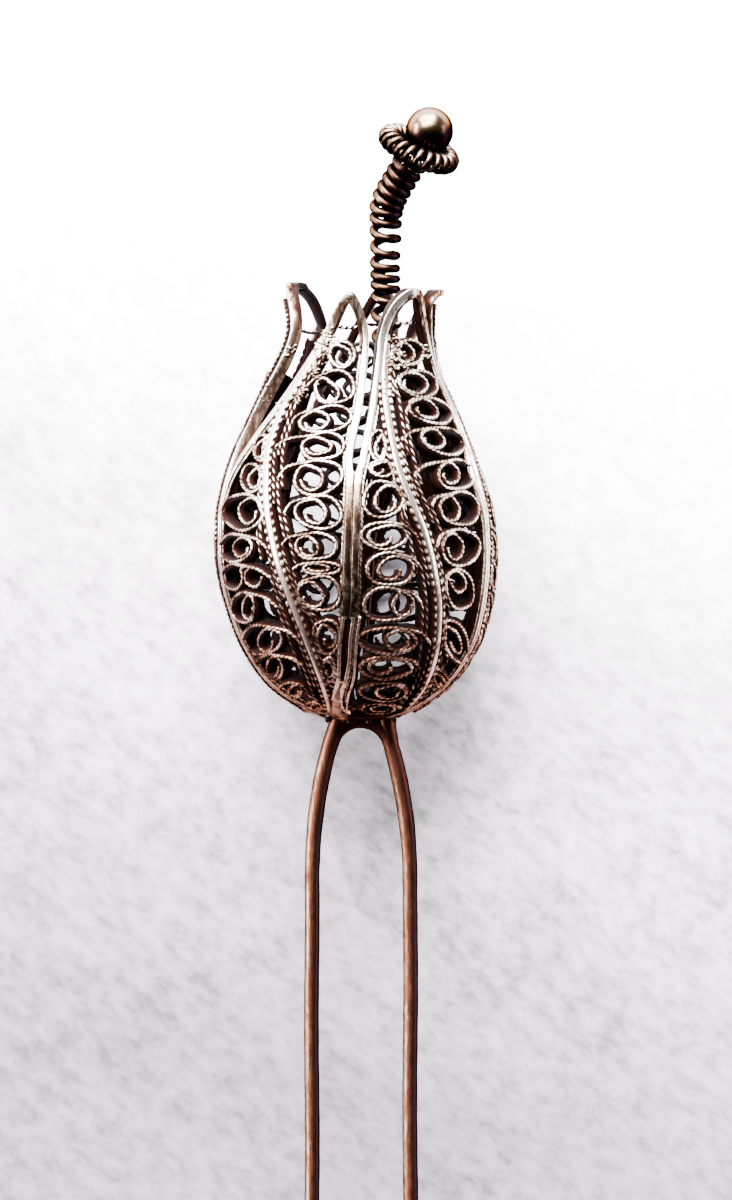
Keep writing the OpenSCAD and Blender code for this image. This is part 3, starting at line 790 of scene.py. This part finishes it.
def petal_outline(name, further):
    """Height, angle and width of a strip that follows both edges and rounds the tip."""
    petal = PETALS[name]
    bulge = BEADED_BULGE if name in BEADED_PETALS else PLAIN_BULGE
    tip = petal[-1, 0] - bulge + TIP_RAISED.get(name, 0)
    up = np.concatenate([np.linspace(LOWEST, tip - TIP_LENGTH, 90)[:-1],
                         np.linspace(tip - TIP_LENGTH, tip, 28)])
    left, right = edges(petal, up)
    middle = (left[-1] + right[-1]) / 2
    half = (right[-1] - left[-1]) / 2
    turn = np.linspace(math.pi, 0, 12)[1:-1]
    height = np.concatenate([up, tip + bulge * np.sin(turn), up[::-1]])
    angle = np.concatenate([left, middle + half * np.cos(turn), right[::-1]])
    across = (angle - middle) / degrees_per_mm(height)
    flat = resample(np.stack([across, height], axis=1), OUTLINE_STEP)[1]
    along = unit(np.gradient(flat, axis=0))
    inward = np.stack([along[:, 1], -along[:, 0]], axis=1)
    top = np.argmax(flat[:, 1])
    widths, insets = (np.concatenate([a, b]) for a, b in zip(
        edge_strip(name, "left", flat[:top, 1]), edge_strip(name, "right", flat[top:, 1])))
    if further:
        insets = insets + widths / 2 + further
    flat = flat + insets[:, None] * inward
    flat[:, 1] = np.maximum(flat[:, 1], LOWEST)
    return flat[:, 1], middle + flat[:, 0] * degrees_per_mm(flat[:, 1]), widths


def add_strip(piece, petal, height, angle, width, top, depth, dull=0.0, bronzed=0.0, ends=0.0):
    """A flat strip on edge along a line on the wall; its far end may taper off."""
    points, outward = wall(petal, height, angle)
    columns = np.stack([np.broadcast_to(v, height.shape)
                        for v in (width, top, depth, dull, bronzed)], axis=1)
    run, all_of = resample(np.hstack([points, outward, columns]), STRIP_STEP)
    width, top, depth, dull, bronzed = all_of[:, 6:].T
    if ends > 0:
        left_over = np.clip((run[-1] - run) / ends, TAPER_LEAST, 1)
        width = width * np.sqrt(left_over)
        top = top - TAPER_DROP * (1 - left_over)
        depth = depth * np.sqrt(left_over)
    piece.sweep(all_of[:, :3], unit(all_of[:, 3:6]), strip_sections(width, top, top - depth),
                top=top[:, None], fade=STRIP_FADE, extra=dull[:, None], worn=1 + bronzed)


def add_plate(piece, petal, side, x, y, half_x, half_y):
    """A thin pool of solder that lies a little below the scrolls."""
    t = np.linspace(-PLATE_ENDS, PLATE_ENDS, 14)
    from_rib, height = from_photo(petal, side, x + 0 * t, y - half_y * t)
    width = 2 * half_x / PX_PER_MM * np.sqrt(1 - t**2)
    add_strip(piece, petal, height, place_in_panel(petal, side, from_rib, height), width, *PLATE)


def add_lump(piece, centre, out, r, top):
    """A small round grain on a surface that faces out, marked darker below top on its lower side as
    painted shade.
    """
    steps = np.array([-0.98, -0.7, 0, 0.7, 0.98])
    piece.rod(centre + out * steps[:, None] * r, UPWARD, np.sqrt(1 - steps**2) * r, 8, top=top)


def add_grains(piece, petal, side, x, y, reach, count, rng):
    """Grains of solder scattered about a point of the photograph."""
    px = x + rng.normal(0, 1, count) * reach * GRAINS_ACROSS
    py = y + rng.normal(0, 1, count) * reach * GRAINS_UP
    from_rib, height = from_photo(petal, side, px, py)
    points, outward = wall(petal, height, place_in_panel(petal, side, from_rib, height))
    for point, out in zip(points, outward):
        centre = point - out * (GRAIN_R - GRAIN_PROUD)
        add_lump(piece, centre, out, rng.uniform(*GRAIN_SIZES) * GRAIN_R, SOLDER_TOP)


def add_flank_solder(piece, petal, height, angle, rng):
    """Grains of solder on the flank of a petal's edge strip."""
    for middle in FLANK_SOLDER:
        spots = middle + rng.normal(0, FLANK_SPREAD, FLANK_GRAINS)
        centre = np.interp(spots, height, angle)
        inner, outward = wall(petal, spots, centre)
        flank, _ = wall(petal, spots, centre + EDGE_W / 2 * degrees_per_mm(spots))
        aside = unit(flank - inner)
        below = rng.uniform(*FLANK_DEPTHS, len(spots))[:, None]
        for point, out in zip(flank - below * outward - FLANK_SUNK * aside, aside):
            add_lump(piece, point, out, rng.uniform(*FLANK_SIZES), SOLDER_TOP)


def add_edges(strips, name, rng):
    """The strip round a petal, and a dark strip of painted shade inside its arch."""
    petal = PETALS[name]
    height, angle, width = petal_outline(name, 0)
    after_tip = np.arange(len(height)) > np.argmax(height)
    bar = 0.0
    bronzed = 0.0
    if name in FRONT_PETALS:
        at_seam = after_tip == (name == FRONT_LEFT)
        bar = between(BAR_FROM, BAR_TO, height) * at_seam
        bronzed = between(BAR_FROM, BRONZE_TO, height) * at_seam
    if name == FLANK_ARM[0]:
        bronzed = FLANK_BRONZE * after_tip * between(FLANK_FROM, FLANK_TO, height)
    # The arms are painted darker near the tip, each by its own amount: tarnish and painted shade
    dull = np.where(after_tip, LOOKS[name].dull_right, LOOKS[name].dull_left)
    dull = dull * ease(petal[-1, 0] - TIP_DULL_AND_SHADE_FROM, petal[-1, 0] - TIP_DULL_AND_SHADE_FULL, height)
    add_strip(strips, petal, height, angle, width, BAR_PROUD * bar, EDGE_DEPTH, dull, bronzed)
    if name == FLANK_ARM[0]:
        add_flank_solder(strips, petal, height[after_tip][::-1], angle[after_tip][::-1], rng)
    if name not in BEADED_PETALS:
        height, angle, width = petal_outline(name, ARCH_INSET)
        high = height > petal[-1, 0] - ARCH_LENGTH
        add_strip(strips, petal, height[high], angle[high], *ARCH_SHADE_STRIP)


def add_seam(strips, petal):
    """The second thin strip at the seam, the dark backing of painted shade behind it, and its solder on
    the pin.
    """
    for low, high, inset, strip in SEAM_STRIPS:
        height = np.linspace(low, high, 60)
        angle = smooth(petal, LEFT, height) + inset * degrees_per_mm(height)
        add_strip(strips, petal, height, angle, *strip)
    height = np.linspace(*SEAM_SOLDER_UP, 24)
    points, outward = wall(petal, height, smooth(petal, LEFT, height))
    wider = SEAM_SOLDER_WIDER * (1 - ease(*SEAM_SOLDER_NARROWS, height))
    thick = SEAM_SOLDER_R + wider + SEAM_SOLDER_UNEVEN * np.sin(height * 9)
    line = points - SEAM_SOLDER_SUNK * outward
    strips.rod(line, outward, thick, 14, top=0.45, fade=0.4, worn=1.6)


def add_cross_wire(wires, name):
    """A sagging twisted wire across the inside of a petal's tip."""
    petal = PETALS[name]
    at = LOOKS[name].cross_wire
    ends, outward = wall(petal, at, np.array(edges(petal, at)))
    ends = ends - CROSS_WIRE.drop * outward
    share = np.linspace(0.02, 0.98, 22)[:, None]
    line = ends[0] + (ends[1] - ends[0]) * share - CROSS_SAG * UPWARD * np.sin(math.pi * share)
    section, groove = rope_section(share[:, 0] * CROSS_RUN, CROSS_WIRE, 0)
    wires.sweep(line, outward.mean(axis=0), section, top=CROSS_TOP, fade=CROSS_FADE, extra=groove)


def add_rib(strips, wires, name):
    """The slanting rib of a petal, with a beaded wire on each side where there is room."""
    petal = PETALS[name]
    top = petal[-1, 0] - RIB_BELOW_TIP
    height = np.linspace(LOWEST, top, 140)
    left, right = edges(petal, height)
    per_mm = degrees_per_mm(height)
    room = (SEAM_GAP / 2 + EDGE_W + RIB_W / 2 + RIB_ROOM) * per_mm
    rib = np.clip(smooth(petal, RIB, height), left + room, right - room)
    width = RIB_W * (RIB_NARROWED + (1 - RIB_NARROWED) * ease(*RIB_FULL_FROM, height))
    add_strip(strips, petal, height, rib, width, RIB_PROUD, EDGE_DEPTH, ends=RIB_TAPER)
    beside = (width / 2 + RIB_ROPE.radius * RIB_ROPE_AWAY) * per_mm
    limit = (SEAM_GAP / 2 + EDGE_W + RIB_ROPE.radius * RIB_ROPE_ROOM) * per_mm
    for way in (-1, 1):
        line = rib + way * beside
        keep = (line > left + limit) & (line < right - limit) & (height < top - RIB_ROPE_END)
        rope_on_wall(wires, name, height[keep], line[keep], RIB_ROPE, way)


def add_edge_ropes(wires, name):
    """Beads inside the edge strips of the side petals, and a fine rope in the others."""
    beaded = name in BEADED_PETALS
    height, angle, _ = petal_outline(name, BEADS_INSET if beaded else ROPE_INSET)
    peak = np.argmax(height)
    for side, arm in (("left", slice(0, peak)), ("right", slice(peak, None))):
        below_tip = LONG_BEADS_END if (name, side) in LONG_BEADS else ROPE_END
        low = height[arm] < PETALS[name][-1, 0] - below_tip
        rope = EDGE_BEADS if beaded else EDGE_ROPE
        if (name, side) == FLANK_ARM:
            rope = FLUSH_BEADS
        rope_on_wall(wires, name, height[arm][low], angle[arm][low], rope, 0)


def petal_pieces(name, seed):
    """A petal's strips and its wires, the two pieces that stand in for its CAD solid."""
    petal = PETALS[name]
    rng = np.random.default_rng(seed)
    strips = Piece(name + "_strips")
    wires = Piece(name + "_wires")
    add_edges(strips, name, rng)
    if name == FRONT_RIGHT:
        add_seam(strips, petal)
    add_cross_wire(wires, name)
    add_rib(strips, wires, name)
    add_edge_ropes(wires, name)
    for side in SIDE_SIGN:
        add_scrolls(wires, name, side, rng)
    for row in GRAINS.get(name, []):
        add_grains(wires, petal, *row, rng)
    for row in PLATES.get(name, []):
        add_plate(strips, petal, *row)
    return strips, wires


def spring_piece():
    piece = Piece("stem_spring_wire")
    turn = np.arange(0, SPRING[-1, TURN] + 0.001, 1 / SPRING_POINTS)
    middle = np.stack([smooth(SPRING, column, turn) for column in (ACROSS, BEHIND, UP)], axis=1)
    one_turn = np.gradient(middle, turn, axis=0)
    rise = unit(one_turn)
    right = unit(np.array((1, 0, 0)) - rise[:, :1] * rise)
    back = np.cross(rise, right)
    a = (turn * ROUND)[:, None]
    outward = np.cos(a) * right - np.sin(a) * back
    coil = np.clip(smooth(SPRING, COIL, turn), 0, 1)[:, None]
    middle = middle - coil * CLIMB_ON_LEFT * np.sin(a) / ROUND * one_turn
    wider = grow(*SPRING_WIDER, turn)[:, None]
    line = middle + coil * (SPRING_OUTER_D - SPRING_D + wider) / 2 * outward
    thick = SPRING_D / 2 + grow(*SPRING_THICKER, turn)
    piece.rod(line, outward, thick, COIL_SIDES)
    return piece


def collar_piece():
    piece = Piece("coil_collar_wire")
    axis = unit(np.array((math.sin(COLLAR_LEAN), -math.tan(COLLAR_FORWARD), math.cos(COLLAR_LEAN))))
    right = unit(np.array((1, 0, 0)) - axis[0] * axis)
    back = np.cross(axis, right)
    turn = np.arange(COLLAR_TURNS * COLLAR_POINTS) / COLLAR_POINTS
    place = (turn * ROUND / COLLAR_TURNS)[:, None]
    radial = np.cos(place) * right + np.sin(place) * back
    a = (turn * ROUND)[:, None]
    outward = np.cos(a) * radial + np.sin(a) * axis
    middle_r = (COLLAR_OUTER_D - COLLAR_COIL_D) / 2
    line = COLLAR_CENTRE + middle_r * radial + (COLLAR_COIL_D - COLLAR_WIRE_D) / 2 * outward
    piece.rod(line, outward, COLLAR_WIRE_D / 2, COIL_SIDES, closed=True)
    return piece


def fork_line():
    """The middle of the fork's wire from the left tip over the bend to the right tip."""
    bend_r = (PRONG_X - SHOULDER_RADIUS * (1 - math.cos(SHOULDER_TURN))) / math.cos(SHOULDER_TURN)
    bend_low = -bend_r + bend_r * math.sin(SHOULDER_TURN)
    shoulder_low = -bend_r - (SHOULDER_RADIUS - bend_r) * math.sin(SHOULDER_TURN)
    down = np.arange(bend_low, TIP_CENTRE, -PRONG_STEP)
    rise = np.clip((down - shoulder_low) / SHOULDER_RADIUS, 0, 1)
    x = PRONG_X - SHOULDER_RADIUS * (1 - np.sqrt(1 - rise**2))
    right = np.stack([x, 0 * down, down], axis=1)
    ends = TIP_CENTRE - WIRE_R * PRONG_END[:, AHEAD]
    right = np.vstack([right, np.stack([PRONG_X + 0 * ends, 0 * ends, ends], axis=1)])
    turn = np.linspace(SHOULDER_TURN, math.pi - SHOULDER_TURN, 60)[1:-1]
    bend = np.stack([bend_r * np.cos(turn), 0 * turn, -bend_r + bend_r * np.sin(turn)], axis=1)
    return np.vstack([right[::-1] * (-1, 1, 1), bend[::-1], right])


def fork_piece():
    piece = Piece("pin_fork_wire")
    line = fork_line()
    left = line[:, 0] < 0
    height = line[:, 2]
    line[:, 0] += left * grow(*LEFT_NEARER, height)
    line[:, 0] += np.sin(height * BENT_WAVES + ~left * 2) * grow(*BENT, height)
    thick = WIRE_R * (BEND_THICK - grow(*PRONG_THINNER, height))
    thick = thick * (1 + PRONG_UNEVEN * np.sin(height * UNEVEN_WAVES + line[:, 0]))
    thick[:len(PRONG_END)] *= PRONG_END[::-1, WIDE]
    thick[-len(PRONG_END):] *= PRONG_END[:, WIDE]
    piece.rod(line, FRONT, thick, WIRE_SIDES)
    for rows in SOLDER:
        x, height, radius = catmull(rows, 8).T
        piece.rod(np.stack([x, 0 * x, height], axis=1), FRONT, radius, WIRE_SIDES)
    rng = np.random.default_rng(17)
    for _ in range(LUMPS):
        x, height, way = rng.uniform(*LUMPS_X), rng.uniform(*LUMPS_UP), rng.choice((-1, 1))
        centre = np.array((x, way * (LUMPS_OUT + LUMPS_FLARE * max(height, 0)), height))
        add_lump(piece, centre, unit(np.array((0, way, LUMPS_TILT))), rng.uniform(*LUMPS_R), 0)
    height, radius = FOOT.T
    piece.rod(np.outer(height, UPWARD), FRONT, radius, FOOT_SIDES)
    return piece


# Materials
def node_material(name):
    material = bpy.data.materials.new(name)
    material.use_nodes = True
    tree = material.node_tree
    return material, tree, tree.nodes["Principled BSDF"]


def feed(tree, node, inputs):
    """Links a node's inputs to other nodes' outputs, or sets them to numbers or colours."""
    for key, value in dict(inputs).items():
        socket = node.inputs[key]
        if isinstance(value, bpy.types.NodeSocket):
            tree.links.new(value, socket)
        else:
            socket.default_value = (*value, 1) if socket.type == "RGBA" else value


def add_node(tree, kind, inputs=(), **settings):
    node = tree.nodes.new("ShaderNode" + kind)
    for key, value in settings.items():
        setattr(node, key, value)
    feed(tree, node, inputs)
    return node


def ramp(tree, source, stops):
    """Colours, or single numbers for greys, at places from 0 to 1."""
    node = add_node(tree, "ValToRGB", {"Fac": source})
    while len(node.color_ramp.elements) < len(stops):
        node.color_ramp.elements.new(0.5)
    for element, (place, colour) in zip(node.color_ramp.elements, stops):
        element.position = place
        element.color = (*np.broadcast_to(colour, 3), 1)
    return node.outputs["Color"]


def own_place(tree):
    return add_node(tree, "TexCoord").outputs["Object"]


def mapped(tree, place=None, **change):
    inputs = {"Vector": place or own_place(tree), **change}
    return add_node(tree, "Mapping", inputs).outputs["Vector"]


def noise(tree, scale, detail=3.0, roughness=0.55, place=None):
    inputs = {"Vector": place or own_place(tree), "Scale": scale, "Detail": detail, "Roughness": roughness}
    return add_node(tree, "TexNoise", inputs).outputs["Fac"]


def mix_colour(tree, factor, a, b, blend="MIX"):
    node = add_node(tree, "Mix", {0: factor}, data_type="RGBA", blend_type=blend)
    feed(tree, node, {6: a, 7: b})
    return node.outputs[2]


def math_node(tree, operation, *values):
    return add_node(tree, "Math", enumerate(values), operation=operation).outputs[0]


def dot(tree, vector, direction):
    node = add_node(tree, "VectorMath", {0: vector, 1: direction}, operation="DOT_PRODUCT")
    return node.outputs["Value"]


def bump(tree, shader, source, strength, distance):
    inputs = {"Height": source, "Strength": strength, "Distance": distance}
    feed(tree, shader, {"Normal": add_node(tree, "Bump", inputs).outputs["Normal"]})


def from_base(tree, source, low, high):
    """0 at one distance beyond the bud's base and 1 at another, in millimetres."""
    limits = {"From Min": pin_origin.y + low * MM, "From Max": pin_origin.y + high * MM}
    return add_node(tree, "MapRange", {"Value": source, **limits}).outputs["Result"]


def along_pin(tree, low, high):
    split = add_node(tree, "SeparateXYZ", {"Vector": own_place(tree)})
    return from_base(tree, split.outputs["Y"], low, high)


# How fine the noise of each look is, to the metre
SILVER_BLOTCHES = 900
SILVER_GRAIN = 2600
SCRATCHES = 2400
WIRE_BLOTCHES = 420
WIRE_GRAIN = 1900
DRAWN_LINES = 7000
# Silver by its depth below the top, which brings tarnish and painted shade, high and low on the bud;
# low on the bud it is darker and redder, with painted shade and a painted warm reflection
SILVER_HIGH = [
    (0.0, (0.88, 0.84, 0.81)), (0.07, (0.42, 0.35, 0.29)), (0.15, (0.07, 0.04, 0.027)),
    (0.25, (0.009, 0.003, 0.0021)), (0.5, (0.0032, 0.0007, 0.0006)), (1.0, (0.0016, 0.0003, 0.0003))]
SILVER_LOW = [
    (0.0, (0.8, 0.42, 0.28)), (0.07, (0.23, 0.085, 0.048)), (0.15, (0.042, 0.0135, 0.008)),
    (0.25, (0.007, 0.0018, 0.0013)), (0.5, (0.003, 0.0006, 0.0005)), (1.0, (0.0015, 0.0003, 0.0003))]
BAR_BRONZE = [(0.32, (0.036, 0.019, 0.012)), (0.5, (0.088, 0.053, 0.036)), (0.68, (0.21, 0.145, 0.11))]


def silver_material():
    """Aged silver: worn bright on the raised wires, and darker further in with dark maroon tarnish and
    painted shade down the sides of wires and strips, in grooves and in recesses.
    """
    material, tree, shader = node_material("aged_silver")
    tarnish_and_shade = add_node(tree, "Attribute", attribute_name="tarnish_and_shade").outputs["Fac"]
    worn = add_node(tree, "Attribute", attribute_name="worn").outputs["Fac"]
    blotch = noise(tree, SILVER_BLOTCHES, 4)
    strip = math_node(tree, "MINIMUM", worn, 1.0)
    bronzed = math_node(tree, "MAXIMUM", math_node(tree, "SUBTRACT", worn, 1.0), 0.0)
    uneven = math_node(tree, "MULTIPLY", math_node(tree, "SUBTRACT", blotch, 0.46),
                       math_node(tree, "MULTIPLY_ADD", strip, -0.3, 0.5))
    scratches = noise(tree, SCRATCHES, 3, 0.6, mapped(tree, Scale=(1, 0.3, 1)))
    scratched = math_node(tree, "MULTIPLY_ADD", scratches, 0.5, -0.25)
    shade = math_node(tree, "ADD", tarnish_and_shade, uneven)
    shade = math_node(tree, "ADD", shade, math_node(tree, "MULTIPLY", scratched, strip))
    high = ramp(tree, shade, SILVER_HIGH)
    low = ramp(tree, shade, SILVER_LOW)
    # Lower on the bud the colour is darker and redder: painted shade and a painted warm reflection
    colour = mix_colour(tree, along_pin(tree, -1, 19), low, high)
    feed(tree, shader, {
        "Base Color": mix_colour(tree, bronzed, colour, ramp(tree, scratches, BAR_BRONZE)),
        "Roughness": ramp(tree, shade, [(0.0, 0.24), (0.3, 0.5), (0.6, 0.85)]),
        "Metallic": ramp(tree, shade, [(0.2, 1.0), (0.42, 0.0)]),
        "Specular IOR Level": 0.07,
        "Specular Tint": (0.12, 0.065, 0.055)})
    bump(tree, shader, noise(tree, SILVER_GRAIN), 0.3, 0.00006)
    return material


def wire_material(name, lit_side, stops, rough, tint, dark_ends=(), drawn=0.0):
    """Wire painted lighter on the side that faces a chosen direction and darker on the others: painted
    light and shade over tarnished metal.
    """
    material, tree, shader = node_material(name)
    # Painted light and shade: the colour follows how far the surface faces the chosen side
    normal = add_node(tree, "TexCoord").outputs["Normal"]
    facing = dot(tree, normal, Vector(lit_side).normalized())
    blotch = noise(tree, WIRE_BLOTCHES, 4, 0.6)
    fine = noise(tree, WIRE_GRAIN)
    spots = math_node(tree, "MULTIPLY_ADD", blotch, 0.7, math_node(tree, "MULTIPLY", fine, 0.3))
    if drawn:
        # Fine lines along the wire
        lines = noise(tree, DRAWN_LINES, 3, 0.7, mapped(tree, Scale=(1, 0.03, 1)))
        spots = math_node(tree, "ADD", spots, math_node(tree, "MULTIPLY_ADD", lines, drawn, -drawn / 2))
    # Spots and facing lie between -0.5 and 1.5 together, and the ramp between 0 and 1
    shade = math_node(tree, "MULTIPLY_ADD", math_node(tree, "ADD", spots, facing), 0.5, 0.25)
    colour = ramp(tree, shade, [(0.5 * (0.5 + place) + 0.25, stop) for place, stop in stops])
    for dark_at, clear_at, dark in dark_ends:
        colour = mix_colour(tree, along_pin(tree, dark_at, clear_at), dark, colour)
    feed(tree, shader, {
        "Base Color": colour,
        "Roughness": ramp(tree, blotch, [(0.35, rough + 0.14), (0.65, rough)]),
        "Metallic": 1.0,
        "Specular Tint": tint})
    bump(tree, shader, fine, 0.3, 0.00005)
    return material


silver = silver_material()
# Painted light and shade on the wires: the copper lighter on its left, the spring lighter towards the left
# and the ball end, and the collar's wraps and the ball lighter towards the ball end of the pin and dark on
# the others
copper = wire_material(
    "copper_wire_painted_light", lit_side=(-0.8, 0.1, 0.6), rough=0.36, tint=(0.08, 0.06, 0.075), drawn=1.0,
    stops=[
        (-0.35, (0.012, 0.007, 0.0095)), (0.2, (0.013, 0.0045, 0.0038)), (0.5, (0.032, 0.0098, 0.0058)),
        (0.76, (0.06, 0.021, 0.0125)), (0.95, (0.1, 0.046, 0.028)), (1.1, (0.165, 0.09, 0.057))],
    dark_ends=[(1, -9, (0.034, 0.0105, 0.0075))])
bronze = wire_material(
    "antique_wire", lit_side=(-0.5, 0.62, 0.6), rough=0.24, tint=(0.04, 0.03, 0.04),
    stops=[
        (0.0, (0.009, 0.0045, 0.0075)), (0.45, (0.012, 0.004, 0.0028)), (0.72, (0.024, 0.011, 0.0065)),
        (1.0, (0.07, 0.043, 0.03))],
    # Painted shade: the spring darker inside the bud and where the collar covers it
    dark_ends=[(26, 34, (0.01, 0.004, 0.003)), (49, 42, (0.011, 0.004, 0.0032))])
collar_wire = wire_material(
    "antique_collar_wire", lit_side=(-0.1, 0.82, 0.5), rough=0.2, tint=(0.04, 0.03, 0.04),
    stops=[
        (0.0, (0.006, 0.003, 0.0036)), (0.4, (0.022, 0.01, 0.0065)), (0.66, (0.055, 0.031, 0.02)),
        (0.95, (0.16, 0.118, 0.094))])
ball_metal = wire_material(
    "antique_ball", lit_side=(-0.1, 0.93, 0.35), rough=0.2, tint=(0.05, 0.035, 0.04),
    stops=[
        (0.0, (0.008, 0.004, 0.0045)), (0.22, (0.034, 0.018, 0.011)), (0.48, (0.105, 0.062, 0.036)),
        (1.0, (0.19, 0.138, 0.108))])

for seed, petal_name in enumerate(PETALS, 1):
    for made in petal_pieces(petal_name, seed):
        made.build(silver, "petal_silver", petal_name)
spring_piece().build(bronze, "spring_wire", "stem_spring")
collar_piece().build(collar_wire, "spring_wire", "coil_collar")
fork_piece().build(copper, "pin_wire", "pin_fork")
ball = frame["nodes"]["ball"]
ball.data.materials.clear()
ball.data.materials.append(ball_metal)
ball.data.polygons.foreach_set("use_smooth", [True] * len(ball.data.polygons))

# Floor: pale paper with slanting fibres; painted shade darkens it towards the prongs, and painted glare
# fades the fibres to white towards the ball end
FLOOR_HALF = 1.5
PAPER_AND_SHADE = [
    (0.11, (0.138, 0.125, 0.152)), (0.28, (0.238, 0.217, 0.257)), (0.59, (0.56, 0.515, 0.58)),
    (0.75, (0.88, 0.85, 0.885)), (0.94, 1.0)]

floor_mesh = bpy.data.meshes.new("floor")
corners = [(x * FLOOR_HALF, y * FLOOR_HALF, 0) for x, y in ((-1, -1), (1, -1), (1, 1), (-1, 1))]
floor_mesh.from_pydata(corners, [], [(0, 1, 2, 3)])
floor = add_object("floor", floor_mesh)
floor_material, tree, shader = node_material("pale_floor")
fibre_place = mapped(tree, mapped(tree, Rotation=(0, 0, 0.68)), Scale=(0.6, 1, 1))
mottle = 0.0
for scale, share in ((900, 0.5), (330, 0.3), (70, 0.25)):
    mottle = math_node(tree, "MULTIPLY_ADD", noise(tree, scale, 3, 0.6, fibre_place), share, mottle)
fibres = ramp(tree, mottle, [(0.4, 0.34), (0.525, 0.7), (0.65, 1.0)])
# Painted shade and glare along the pin: darker paper towards the prongs, fibres faded to white towards the
# ball end
reach = from_base(tree, dot(tree, own_place(tree), (0.34, 1, 0)), -40, 50)
painted_glare = ramp(tree, reach, [(0.5, 0.0), (0.95, 0.9)])
fibres = mix_colour(tree, painted_glare, fibres, (1.0, 1.0, 1.0))
paper = mix_colour(tree, 1.0, ramp(tree, reach, PAPER_AND_SHADE), fibres, "MULTIPLY")
feed(tree, shader, {"Base Color": paper, "Roughness": 0.9})
floor_mesh.materials.append(floor_material)

# Soft boxes that face the hairpin: name, place, width, height, power and colour
LIGHTS = [
    ("top_box", (-0.1, 0.66, 0.38), 0.8, 0.4, 110.0, (1.0, 0.99, 0.97)),
    ("high_box", (-0.12, 0.42, 0.62), 0.6, 0.22, 60.0, (1.0, 0.98, 0.96)),
    ("left_box", (-0.75, 0.15, 0.3), 0.5, 0.22, 38.0, (1.0, 0.97, 0.92)),
    ("right_box", (0.8, 0.1, 0.25), 0.4, 0.12, 8.0, (0.9, 0.93, 1.0)),
]
for name, place, width, height, power, colour in LIGHTS:
    light = bpy.data.lights.new(name, "AREA")
    light.shape = "RECTANGLE"
    light.size = width
    light.size_y = height
    light.energy = power
    light.color = colour
    lamp = add_object(name, light)
    lamp.location = place
    lamp.rotation_euler = (-Vector(place)).to_track_quat("-Z", "Y").to_euler()

# Sky: bright round the horizon, dark overhead, and brightest behind the bud to the left
SKY = [(0.0, (0.95, 0.96, 1.0)), (0.45, (0.25, 0.25, 0.28)), (0.8, (0.05, 0.045, 0.05))]
world = bpy.data.worlds.new("world")
bpy.context.scene.world = world
world.use_nodes = True
sky = world.node_tree
direction = add_node(sky, "TexCoord").outputs["Generated"]
aside = math_node(sky, "MULTIPLY_ADD", dot(sky, direction, (-0.4, 0.9, 0)), 0.5, 0.5)
window = ramp(sky, aside, [(0.3, 0.1), (0.5, 0.3), (0.75, 1.0)])
up = add_node(sky, "SeparateXYZ", {"Vector": direction}).outputs["Z"]
light = mix_colour(sky, 1.0, ramp(sky, up, SKY), window, "MULTIPLY")
feed(sky, sky.nodes["Background"], {"Color": light, "Strength": 1.2})
